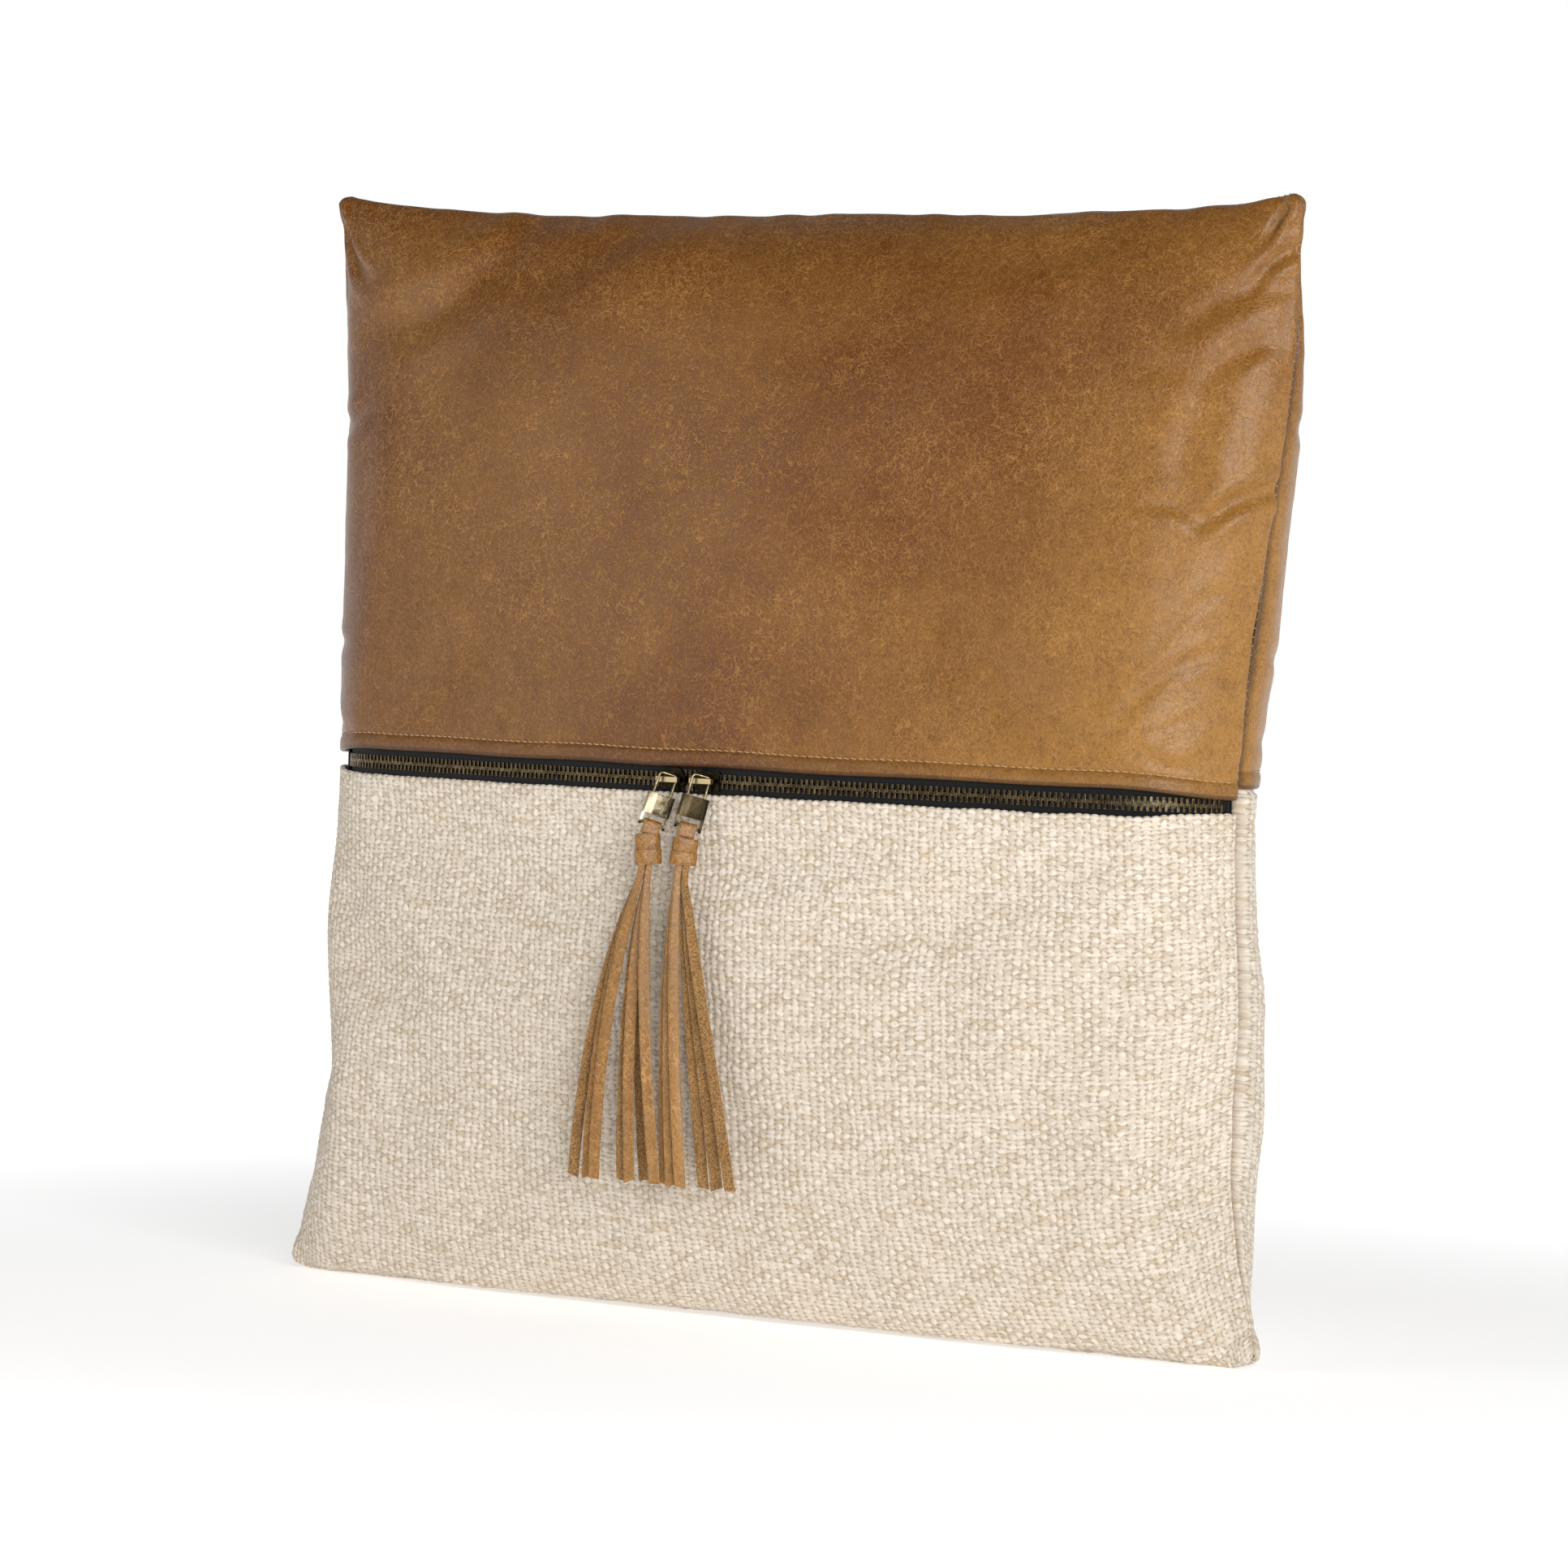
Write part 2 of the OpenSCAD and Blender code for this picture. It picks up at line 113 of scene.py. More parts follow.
def start_shape():
    """Rows from the base seam to the top seam, columns across: points of the front face."""
    across = np.linspace(-ZIP_HALF, ZIP_HALF, CELLS + 1)
    plan, _ = path(across, SKIN)
    plan[:, 1] -= plan[0, 1] * (np.abs(across) / ZIP_HALF) ** 8
    grid = np.zeros((CELLS + 1, CELLS + 1, 3))
    for i, p in enumerate(across):
        top = TOP_MID + (COVER_H - TOP_MID) * abs(p / ZIP_HALF) ** 6
        low_z, high_z = np.linspace(0, ZIP_Z, 80)[1:], np.linspace(ZIP_Z, top, 160)[1:]
        z = np.concatenate([np.zeros(BASE_STEPS), low_z, high_z])
        share = np.where(z < ZIP_Z, low_share(z), high_share(z, top))
        share[:BASE_STEPS] = np.linspace(0, BASE_SHARE, BASE_STEPS)
        depth = share * -plan[i, 1]
        run = np.concatenate([[0], np.cumsum(np.hypot(np.diff(z), np.diff(depth)))])
        at_zip = np.interp(ZIP_Z, z[BASE_STEPS:], run[BASE_STEPS:])
        low_part = ROWS / FLAT_LOW * at_zip
        high_part = at_zip + (ROWS - FLAT_LOW) / FLAT_HIGH * (run[-1] - at_zip)
        want = np.where(ROWS <= FLAT_LOW, low_part, high_part)
        band = np.abs(ROWS - FLAT_LOW) < 10 * MM
        high = np.where(band, ZIP_Z + (ROWS - FLAT_LOW), np.interp(want, run, z))
        deep = np.where(band, -plan[i, 1], np.interp(want, run, depth))
        grid[:, i] = np.stack([plan[i, 0] * half_width(high) / SIDE_HALF, -deep, high], -1)
    return grid


def new_mesh(name, points, faces):
    mesh = bpy.data.meshes.new(name)
    mesh.from_pydata([tuple(p) for p in points], [], [tuple(int(i) for i in f) for f in faces])
    obj = bpy.data.objects.new(name, mesh)
    bpy.context.scene.collection.objects.link(obj)
    return obj


def grid_faces(rows, cols, first=0, flip=False):
    r, c = np.meshgrid(np.arange(rows - 1), np.arange(cols - 1), indexing="ij")
    a = first + r * cols + c
    quads = np.stack([a, a + 1, a + cols + 1, a + cols], -1).reshape(-1, 4)
    return quads[:, ::-1] if flip else quads


FILL = 1.03               # the filled cover's volume, as a share of the start shape's
FRAMES = 40
MOST_MOVED = 22 * MM      # the furthest that the simulation may move a point
CLOTH = {
    "quality": 8, "mass": 0.1, "tension_stiffness": 60, "compression_stiffness": 60, "shear_stiffness": 25,
    "bending_model": "LINEAR", "bending_stiffness": 3, "tension_damping": 12, "compression_damping": 12,
    "shear_damping": 12, "air_damping": 4, "use_pressure": True, "uniform_pressure_force": 0,
    "use_pressure_volume": True, "pressure_factor": 8, "vertex_group_mass": "held", "pin_stiffness": 50,
}


def volume(points, faces):
    q = points[faces]
    tris = np.concatenate([q[:, [0, 1, 2]], q[:, [0, 2, 3]]])
    return abs(np.einsum("ij,ij->i", tris[:, 0], np.cross(tris[:, 1], tris[:, 2])).sum() / 6)


def simulate(points, faces, flat, held):
    """The points after a cloth simulation that fills the cover by pressure as it stands on the floor."""
    cover = new_mesh("cover_simulation", points, faces)
    cover.shape_key_add(name="Basis")
    key = cover.shape_key_add(name="flat")
    key.data.foreach_set("co", flat.ravel())
    group = cover.vertex_groups.new(name=CLOTH["vertex_group_mass"])
    group.add(held, 1.0, "REPLACE")
    floor = new_mesh("simulation_floor", [(-1, -1, 0), (1, -1, 0), (1, 1, 0), (-1, 1, 0)], [(0, 1, 2, 3)])
    floor.modifiers.new("collision", "COLLISION")
    floor.collision.thickness_outer = 0.5 * MM
    cloth = cover.modifiers.new("cloth", "CLOTH")
    for key_name, value in CLOTH.items():
        setattr(cloth.settings, key_name, value)
    cloth.settings.target_volume = volume(points, faces) * FILL
    cloth.settings.effector_weights.gravity = 0
    cloth.settings.rest_shape_key = key
    cloth.collision_settings.use_collision = True
    cloth.collision_settings.distance_min = 0.5 * MM
    cloth.collision_settings.use_self_collision = False
    cloth.point_cache.frame_start = 1
    cloth.point_cache.frame_end = FRAMES
    scene = bpy.context.scene
    for f in range(1, FRAMES + 1):
        scene.frame_set(f)
    shown = cover.evaluated_get(bpy.context.evaluated_depsgraph_get())
    moved = np.zeros(len(points) * 3, np.float32)
    shown.data.vertices.foreach_get("co", moved)
    scene.frame_set(1)
    for o in (cover, floor):
        bpy.data.objects.remove(o, do_unlink=True)
    return moved.reshape(-1, 3).astype(float)


def fill_cover():
    """The filled front and back faces, joined round their edge."""
    front = start_shape()
    back = front * [1, -1, 1]
    n = CELLS + 1
    inner = np.zeros((n, n), bool)
    inner[1:-1, 1:-1] = True
    back_id = np.arange(n * n).reshape(n, n)
    back_id[inner] = n * n + np.arange(inner.sum())
    points = np.concatenate([front.reshape(-1, 3), back[inner]])
    flat_x, flat_z = np.meshgrid(np.linspace(-FLAT_W / 2, FLAT_W / 2, n), ROWS)
    flat = np.stack([flat_x, np.zeros_like(flat_x), flat_z], -1)
    flat = np.concatenate([flat.reshape(-1, 3), flat[inner]])
    faces = np.concatenate([grid_faces(n, n), back_id.reshape(-1)[grid_faces(n, n, flip=True)]])
    held = [r * n + c for r in range(BAND[0], BAND[1] + 1) for c in range(n)] + list(range(4, n - 4))
    moved = simulate(points, faces, flat, held)
    moved = points + np.clip(moved - points, -MOST_MOVED, MOST_MOVED)
    moved[:, 2] = np.maximum(moved[:, 2], 0)
    return moved[: n * n].reshape(n, n, 3), moved[back_id.reshape(-1)].reshape(n, n, 3)


FRONT, BACK = fill_cover()


# ---- reading the filled cover
def ripple(seed, x, y, shortest, longest, count=9):
    """Smooth noise of about -1 to 1 from waves between two lengths, the same every time."""
    r = np.random.default_rng(seed)
    total = np.zeros(np.broadcast(x, y).shape)
    for _ in range(count):
        turn, phase = r.uniform(0, 2 * math.pi, 2)
        k = 2 * math.pi / r.uniform(shortest, longest)
        total += np.sin(k * (math.cos(turn) * x + math.sin(turn) * y) + phase)
    return total / math.sqrt(count)


def cubic(values, at):
    """Catmull-Rom weights: four row numbers and four weights for each place in at."""
    last = values - 1
    i = np.clip(np.floor(at).astype(int), 0, last - 1)
    t = at - i
    rows = np.clip(np.stack([i - 1, i, i + 1, i + 2]), 0, last)
    w = np.stack([(-t + 2 * t**2 - t**3) / 2, (2 - 5 * t**2 + 3 * t**3) / 2,
                  (t + 4 * t**2 - 3 * t**3) / 2, (t**3 - t**2) / 2])
    return rows, w


def on_cover(grid, p, m):
    """Points of a filled face at flat coordinates p across and m up."""
    col, cw = cubic(CELLS + 1, (p / FLAT_W + 0.5) * CELLS)
    row, rw = cubic(CELLS + 1, np.interp(m, ROWS, np.arange(CELLS + 1)))
    out = np.zeros(p.shape + (3,))
    for a in range(4):
        for b in range(4):
            out += grid[row[a], col[b]] * (rw[a] * cw[b])[..., None]
    return out


def edge_distance(p, m):
    return np.minimum(np.minimum(FLAT_W / 2 - np.abs(p), FLAT_H - m), m)


def hump(x, middle, width):
    return np.exp(-(((x - middle) / width) ** 2))


def ease(x):
    """A smooth step from 0 to 1."""
    f = np.clip(x, 0, 1)
    return f * f * (3 - 2 * f)


CORNER_R = 17 * MM


def blunt(p, m):
    """Flat coordinates with the four corners rounded, and how deep in a corner each point lies."""
    a, high, low = (np.clip(1 - off / CORNER_R, 0, 1) for off in (FLAT_W / 2 - np.abs(p), FLAT_H - m, m))
    b = np.maximum(high, low)
    pull = CORNER_R * a * (1 - np.sqrt(1 - b * b / 2))
    drop = CORNER_R * b * (1 - np.sqrt(1 - a * a / 2))
    return p - np.sign(p) * pull, m - np.where(high > 0, drop, -drop), np.minimum(a, b)


# How far each side seam stands out beyond its simulated place: (height along the cloth, millimetres out).
SIDE_OUT = {
    -1: [(0, 0), (40, 4), (95, 7), (165, 7), (240, 4), (320, 6), (430, 4), (480, 0), (508, 0)],
    1: [(0, 0), (60, 2), (165, 8), (240, 2.5), (280, 3), (365, 10), (410, 13), (445, 12), (485, 4),
        (508, 0)],
}
TOP_UP = 8.5 * MM         # how far the middle of the top seam stands above its simulated place
BACK_FULL = 17 * MM       # how much fuller the back is beside the side seams
CORNER_PUFF = 3.2 * MM


def fuller(out, p, m):
    """Moves the side seams outward and the top seam upward, fading towards the middle."""
    for sign, table in SIDE_OUT.items():
        at, push = zip(*table)
        row, weight = cubic(len(at), np.interp(m / MM, at, np.arange(len(at))))
        amount = (weight * np.array(push)[row]).sum(0) * MM
        side = np.maximum(FLAT_W / 2 - sign * p, 0)
        out[..., 0] += sign * amount * hump(side, 0, 75 * MM)
    middle = 1 - (np.abs(p) / (FLAT_W / 2)) ** 7
    out[..., 2] += TOP_UP * middle * hump(m, FLAT_H, 80 * MM)


def place(grid, facing, p, m):
    """Points of a face with its blunt corners, and the back's fuller sides."""
    p_in, m_in, corner = blunt(p, m)
    out = on_cover(grid, p_in, m_in)
    d = edge_distance(p, m)
    closed = np.clip(corner * 3, 0, 1)
    round_in = np.sqrt(np.clip(1 - (1 - np.clip(d / (10 * MM), 0, 1)) ** 2, 0, 1))
    fuller(out, p, m)
    puff = closed * CORNER_PUFF * round_in * hump(d, 8 * MM, 9 * MM)
    out[..., 1] = out[..., 1] * (1 - closed * (1 - round_in)) - facing * puff
    if facing < 0:
        side = FLAT_W / 2 - np.abs(p)
        tall = ease(np.minimum(m - 20 * MM, FLAT_H - 20 * MM - m) / (110 * MM))
        full = BACK_FULL * (1 - np.exp(-side / (9 * MM))) * hump(side, 0, 62 * MM) * tall
        out[..., 1] += full
        out[..., 0] += np.sign(p) * 0.3 * full * np.exp(-side / (26 * MM))
    return out


PROBE = 1.5 * MM          # the reach on each side over which a normal is measured


def surface(grid, facing, p, m, lift):
    """Points of the face raised by lift, a length or a function of p and m, and the way that each moves."""
    pa, pb = (np.clip(p + e, -FLAT_W / 2, FLAT_W / 2) for e in (-PROBE, PROBE))
    ma, mb = (np.clip(m + e, 0, FLAT_H) for e in (-PROBE, PROBE))
    across = place(grid, facing, pb, m) - place(grid, facing, pa, m)
    up = place(grid, facing, p, mb) - place(grid, facing, p, ma)
    normal = np.cross(across, up) * facing
    normal /= np.linalg.norm(normal, axis=-1, keepdims=True) + 1e-12
    d = edge_distance(p, m)
    push = normal.copy()
    push[..., 1] *= np.clip(d / (2.5 * MM), 0, 1)    # at the seam the two faces sink together
    h = lift(p, m) if callable(lift) else lift
    return place(grid, facing, p, m) + push * np.asarray(h)[..., None], push


def seam_lift(p, m):
    """The perimeter seam's groove, the roll beside it and the small puckers that run off it."""
    d = edge_distance(p, m)
    groove = -1.9 * MM * hump(d, 0, 1.1 * MM) + 0.7 * MM * hump(d, 3.6 * MM, 2.4 * MM)
    pull = np.exp(-d / (11 * MM)) * (1 - np.exp(-d / (2 * MM)))
    return groove + 0.4 * MM * pull * ripple(3, p, m, 11 * MM, 30 * MM)


# Soft folds in the leather: flat start and end (mm across, mm above the zip), half width and depth in mm.
FOLDS = [
    (238, 244, 226, 232, 2.6, 2.4), (246, 226, 222, 214, 3.4, 1.9), (240, 212, 196, 196, 5, 1.2),
    (232, 190, 206, 174, 5, 1.3), (206, 174, 180, 178, 5, 0.8), (211, 170, 209, 126, 7, 1.0),
    (247, 129, 216, 117, 4, 2.2), (216, 117, 194, 125, 3.6, 1.4), (234, 90, 204, 66, 2.6, 0.5),
    (238, 66, 190, 30, 3, 0.7), (230, 36, 208, 26, 2.4, 0.5),
    (-240, 236, -214, 214, 4, 1.7), (-214, 190, -128, 234, 9, 1.3), (-244, 150, -214, 158, 4, 0.8),
    (-150, 216, -60, 240, 10, 0.9), (60, 240, 150, 226, 9, 0.8), (200, 22, 246, 16, 3.2, 1.0),
    (206, 12, 240, 30, 3.5, 0.8), (-240, 24, -206, 12, 4, 0.8), (-246, 60, -220, 52, 3.5, 0.7),
]


FOLD_DEPTH = 1.5          # every fold is this much deeper than its number says
BACK_FOLDS = [(-a, b + 3, -c, d - 4, w, h * 0.8) for a, b, c, d, w, h in FOLDS]


def fold_lift(p, m, folds):
    """A row of curved valleys with soft rolls on both sides, fading out towards the zip."""
    total = np.zeros_like(p)
    for x0, y0, x1, y1, width, depth in folds:
        a = np.array([x0, y0]) * MM
        b = np.array([x1, y1]) * MM
        run = np.linalg.norm(b - a)
        t = (b - a) / run
        along = (p - a[0]) * t[0] + (m - FLAT_LOW - a[1]) * t[1]
        off = (m - FLAT_LOW - a[1]) * t[0] - (p - a[0]) * t[1]
        off = off + 0.12 * run * np.sin(math.pi * along / run)
        ends = 1 / (1 + np.exp(-along / (0.1 * run))) / (1 + np.exp((along - run) / (0.1 * run)))
        w = width * MM
        profile = 0.55 * hump(off, 1.8 * w, w) - hump(off, 0, w) + 0.3 * hump(off, -2 * w, w)
        total += FOLD_DEPTH * depth * MM * ends * profile
    return total * np.clip((m - FLAT_LOW - 9 * MM) / (16 * MM), 0, 1)


YARNS = 138
YARN_X = FLAT_W / YARNS    # the distance from one upright yarn to the next
YARN_Y = 2.1 * MM         # the distance from one level yarn to the next
STITCH_UP = 6.2 * MM      # the hem's stitching, above the leather's folded edge
STITCH_PITCH = 3.45 * MM
BACK_HEM = 8 * MM         # the back leather's folded edge, above the height of the zip
BACK_OVERLAP = 5 * MM     # how far the back fabric goes on behind the leather
HEM_GAP = 6.4 * MM        # from the zip's centre line to each hem beside it, where the sliders run


def narrow(p, middle, end):
    """A gap beside the zip: wide in the middle, where the sliders run, and narrow by the side seams."""
    return middle + (end - middle) * ease((np.abs(p) - 190 * MM) / (52 * MM))


def leather_hem(p, back):
    if back:
        return FLAT_LOW + BACK_HEM + 0.35 * MM * ripple(11, p, 0 * p, 40 * MM, 120 * MM)
    wavy = 0.25 * MM * (1 + ripple(12, p, 0 * p, 30 * MM, 90 * MM))
    return FLAT_LOW + narrow(p, HEM_GAP, 3.8 * MM) + wavy


def fabric_hem(p, back):
    if back:
        return FLAT_LOW + BACK_HEM + BACK_OVERLAP + 0 * p
    scallop = 0.55 * MM * np.abs(np.sin(math.pi * p / YARN_X))
    return FLAT_LOW - narrow(p, HEM_GAP, 3.6 * MM) - 0.5 * MM + scallop


def leather_lift(back):
    """The leather's relief: seam, folds and puckers, and the hem's lip and the tucks of its stitching."""
    seed = 21 if back else 20

    def lift(p, m):
        above = m - leather_hem(p, back)
        tuck = -0.5 * MM * hump(above, STITCH_UP, 1.0 * MM)
        each = np.cos(2 * math.pi * p / STITCH_PITCH)
        tuck = tuck + 0.1 * MM * each * hump(above, STITCH_UP, 2 * MM)
        lip = 0.45 * MM * np.clip(1 - above / STITCH_UP, 0, 1)
        lip = lip + 0.35 * MM * hump(above, STITCH_UP / 2, 2 * MM)
        puckers = hump(above, 9 * MM, 9 * MM) * ripple(seed + 2, p, m * 0.3, 14 * MM, 40 * MM)
        slack = ripple(seed + 4, p, m, 60 * MM, 150 * MM) * np.clip(above / (50 * MM), 0, 1)
        folds = fold_lift(p, m, BACK_FOLDS if back else FOLDS)
        return seam_lift(p, m) + tuck + lip + 0.28 * MM * puckers + 0.6 * MM * slack + folds

    return lift


# The upright and the level floats: half width and half height in yarn steps, and how high they stand.
GRAIN = (0.5, 0.74, 1.0)
FLECK = (0.7, 0.44, 0.62)


def weave_height(u, v):
    """Plain weave over flat coordinates: plump upright floats, offset on alternate rows, and level ones."""
    x, y = u / YARN_X, v / YARN_Y
    best = 0.25 * np.sqrt(np.maximum(0, np.cos(math.pi * (y - np.floor(y) - 0.5))))
    for step in (-1, 0, 1):
        row = np.floor(y) + step
        dy = y - row - 0.5
        for (half_w, half_h, tall), shift in ((GRAIN, 0.5), (FLECK, 1.5)):
            off = (x + row + shift) / 2
            dx = 2 * (off - np.floor(off) - 0.5)
            filled = np.maximum(0, 1 - (dx / half_w) ** 2 - (dy / half_h) ** 2)
            best = np.maximum(best, tall * np.sqrt(filled))
    return best


def wander(p, m):
    """How far the yarns stray from their even spacing, fading out at the seams and hems."""
    fade = np.clip(edge_distance(p, m) / (14 * MM), 0, 1) * np.clip((FLAT_LOW - m) / (16 * MM), 0, 1)
    seeds = ((31, 0.6 * MM), (32, 0.5 * MM))
    return [fade * most * ripple(seed, p, m, 14 * MM, 55 * MM) for seed, most in seeds]


def fabric_lift(back, u, v):
    """The fabric's relief, with its yarns at u and v. The back fabric sinks where the leather covers it."""

    def lift(p, m):
        sink = -2.1 * MM / (1 + np.exp(-(m - FLAT_LOW - BACK_HEM + 2.5 * MM) / (0.5 * MM))) if back else 0
        slack = ripple(41 + back, p, m, 50 * MM, 120 * MM) * np.clip(m / (40 * MM), 0, 1)
        slack = slack * np.clip((FLAT_LOW - 6 * MM - m) / (40 * MM), 0, 1)
        return seam_lift(p, m) + 0.5 * MM * slack + 0.7 * MM * (weave_height(u, v) - 0.5) + sink

    return lift


# ---- sewn panels
def finish_piece(obj, body, materials, replaced=()):
    for m in materials:
        obj.data.materials.append(m)
    obj.data.polygons.foreach_set("use_smooth", [True] * len(obj.data.polygons))
    obj.data.update()
    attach(obj, body)
    if replaced:
        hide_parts(*replaced)
    return obj


def store(obj, name, values):
    """Keeps a number or a vector for each point of a mesh, for its material to read."""
    kind, field = ("FLOAT_VECTOR", "vector") if values.ndim == 2 else ("FLOAT", "value")
    layer = obj.data.attributes.new(name, kind, "POINT")
    layer.data.foreach_set(field, np.asarray(values, np.float32).ravel())


def bridge(dense, sparse, step):
    """Polygons between a line of points and one with every step-th of them."""
    return [[*dense[k * step: (k + 1) * step + 1], sparse[k + 1], sparse[k]] for k in range(len(sparse) - 1)]


FOLD_TURNS = [0.2, 0.4, 0.6, 0.8, 1.0]    # where the rows of a hem's fold lie, as shares of its half turn


def sewn_panel(name, grid, facing, p, m, lift, inner_t, step, yarns=None):
    """A closed panel with real thickness. Rows run from the seam to the folded hem, which is the last row.

    The inner face has every step-th row and column. The yarns' own coordinates go to the material."""
    rows, cols = m.shape
    outer, push = surface(grid, facing, p, m, lift)
    beyond = outer[-1] - outer[-3]
    beyond /= np.linalg.norm(beyond, axis=-1, keepdims=True)
    r = inner_t[-1] / 2
    fold = [outer[-1] - push[-1] * (r - r * math.cos(math.pi * t)) + beyond * (r * math.sin(math.pi * t))
            for t in FOLD_TURNS]
    few_r, few_c = np.arange(0, rows, step), np.arange(0, cols, step)
    inner = (outer - push * inner_t[:, None, None])[few_r][:, few_c]
    inner[..., 1] = np.minimum(inner[..., 1] * facing, -0.04 * MM) * facing
    points = np.concatenate([outer.reshape(-1, 3), np.concatenate(fold), inner.reshape(-1, 3)])
    o_id = np.arange(rows * cols).reshape(rows, cols)
    f_id = rows * cols + np.arange(len(fold) * cols).reshape(len(fold), cols)
    i_id = rows * cols + f_id.size + np.arange(inner.shape[0] * inner.shape[1]).reshape(inner.shape[:2])
    shell = np.concatenate([o_id, f_id])
    flip = (m[0, 0] > m[-1, 0]) == (facing > 0)
    quads = grid_faces(len(shell), cols, flip=flip)
    faces = [list(q) for q in shell.reshape(-1)[quads]]
    back = grid_faces(i_id.shape[0], i_id.shape[1], flip=not flip)
    faces += [list(q) for q in i_id.reshape(-1)[back]]
    walls = bridge(o_id[0], i_id[0], step)
    walls += [w[::-1] for w in bridge(f_id[-1], i_id[-1], step) + bridge(o_id[:, 0], i_id[:, 0], step)]
    walls += bridge(o_id[:, -1], i_id[:, -1], step)
    walls.append([i_id[-1, 0], *f_id[::-1, 0], o_id[-1, 0]])
    walls.append([o_id[-1, -1], *f_id[:, -1], i_id[-1, -1]])
    faces += [w if flip else w[::-1] for w in walls]
    obj = new_mesh(name, points, faces)
    u, v = (p, m) if yarns is None else yarns
    flat = np.stack([u, v, 0 * u], -1)
    tail = np.repeat(flat[-1:], len(fold), 0)
    tail[..., 1] += np.array(FOLD_TURNS)[:, None] * math.pi * r * (1 if m[-1, 0] > m[0, 0] else -1)
    store(obj, "flat", np.concatenate([a.reshape(-1, 3) for a in (flat, tail, flat[few_r][:, few_c])]))
    edge = np.stack([edge_distance(p, m), np.abs(m - m[-1])], -1)
    edge_tail = np.stack([0 * tail[..., 0] + 50 * MM, 0 * tail[..., 0]], -1)
    e = np.concatenate([a.reshape(-1, 2) for a in (edge, edge_tail, edge[few_r][:, few_c])])
    store(obj, "seam_near", e[:, 0])
    store(obj, "hem_near", e[:, 1])
    return obj


def lines(low, high, spacing, close_low):
    """Places from low to high, closer together near the high end, and near the low end where asked."""
    near = np.array([0, 0.5, 1.0, 1.6, 2.3, 3.2, 4.4, 6.0, 8.0]) * MM
    a = low + near if close_low else np.array([low])
    b = high - near[::-1]
    count = max(2, round((b[0] - a[-1]) / spacing))
    return np.concatenate([a, np.linspace(a[-1], b[0], count + 1)[1:-1], b])


LEATHER_CELL = 2.6 * MM
THIN = 1.3 * MM           # one layer of fabric


def leather_panel(name, grid, facing, back, replaced):
    """The rows lie close together over the hem. Its turned-in edge makes it a millimetre thicker."""
    p = lines(-FLAT_W / 2, FLAT_W / 2, LEATHER_CELL, True)
    hem = leather_hem(p, back)
    by_hem = np.array([0, 0.7, 1.5, 2.6, 3.8, 4.8, 5.4, 5.8, 6.2, 6.6, 7.0, 7.6, 8.4, 9.4, 10.5, 11.8,
                       13.4]) * MM
    span = FLAT_HIGH - 5 * MM
    rest = lines(15.5 * MM, span, LEATHER_CELL, False)
    above = np.concatenate([by_hem, rest])[::-1]
    m = hem + above[:, None] * (FLAT_H - hem) / span
    inner_t = np.where(above < 10 * MM, 2.5 * MM, 1.5 * MM)
    obj = sewn_panel(name, grid, facing, np.tile(p, (len(m), 1)), m, leather_lift(back), inner_t, 1)
    return finish_piece(obj, "root", [MAT["leather"]], replaced)


def fabric_panel(name, grid, facing, back, replaced):
    """Four mesh columns to each upright yarn, so that the weave is real relief."""
    top = FLAT_LOW + (BACK_HEM + BACK_OVERLAP if back else -5.6 * MM)
    rows = round(top / (YARN_Y / 2) / 3) * 3
    u = (np.arange(4 * YARNS + 1) - 2 * YARNS) * YARN_X / 4
    v = np.linspace(0, top, rows + 1)
    hem = fabric_hem(u, back)
    u, v = np.meshgrid(u, v)
    shift_p, shift_m = wander(u, v)
    m = v * hem / top + shift_m
    yarn_v = v * YARN_Y * rows / 2 / top + 0.2 * MM * ripple(34, u, v, 4 * MM, 9 * MM, 24)
    yarn_u = u + 0.42 * MM * ripple(33, u, v, 4 * MM, 9 * MM, 24)
    inner_t = np.where(top - v[:, 0] < 8 * MM, THIN if back else 2.2 * MM, THIN)
    obj = sewn_panel(name, grid, facing, u + shift_p, m, fabric_lift(back, yarn_u, yarn_v), inner_t, 3,
                     (yarn_u, yarn_v))
    return finish_piece(obj, "root", [MAT["weave"]], replaced)


# ---- threads
def ring_faces(rings, sides):
    """Quads between rings of points, shaped (rings - 1, sides, 4)."""
    r, c = np.meshgrid(np.arange(rings - 1) * sides, np.arange(sides), indexing="ij")
    d = (c + 1) % sides
    return np.stack([r + c, r + d, r + sides + d, r + sides + c], -1)


def end_faces(rings, sides):
    """The two faces that close a tube of rings."""
    return [list(range(sides))[::-1], [(rings - 1) * sides + c for c in range(sides)]]


def stitches(name, starts, ends, bulge, radius):
    """Short bowed threads from starts to ends, raised in the middle along bulge."""
    rings, sides = 5, 6
    t = np.linspace(0, 1, rings)
    axis = ends - starts
    axis_n = axis / np.linalg.norm(axis, axis=-1, keepdims=True)
    up_n = bulge / np.linalg.norm(bulge, axis=-1, keepdims=True)
    side = np.cross(axis_n, up_n)
    size = radius * np.sqrt(np.clip(1 - (2 * t - 1) ** 4, 0.12, 1))
    middle = starts[:, None] + axis[:, None] * t[:, None] + bulge[:, None] * (4 * t * (1 - t))[:, None]
    turn = np.arange(sides) / sides * 2 * math.pi
    ring = np.cos(turn)[:, None] * up_n[:, None, None] + np.sin(turn)[:, None] * side[:, None, None]
    points = middle[:, :, None] + ring * size[:, None, None]
    base = np.arange(len(starts)) * rings * sides
    faces = list((base[:, None, None, None] + ring_faces(rings, sides)).reshape(-1, 4))
    faces += [[first + j for j in end] for first in base for end in end_faces(rings, sides)]
    return finish_piece(new_mesh(name, points.reshape(-1, 3), faces), "root", [MAT["thread"]])


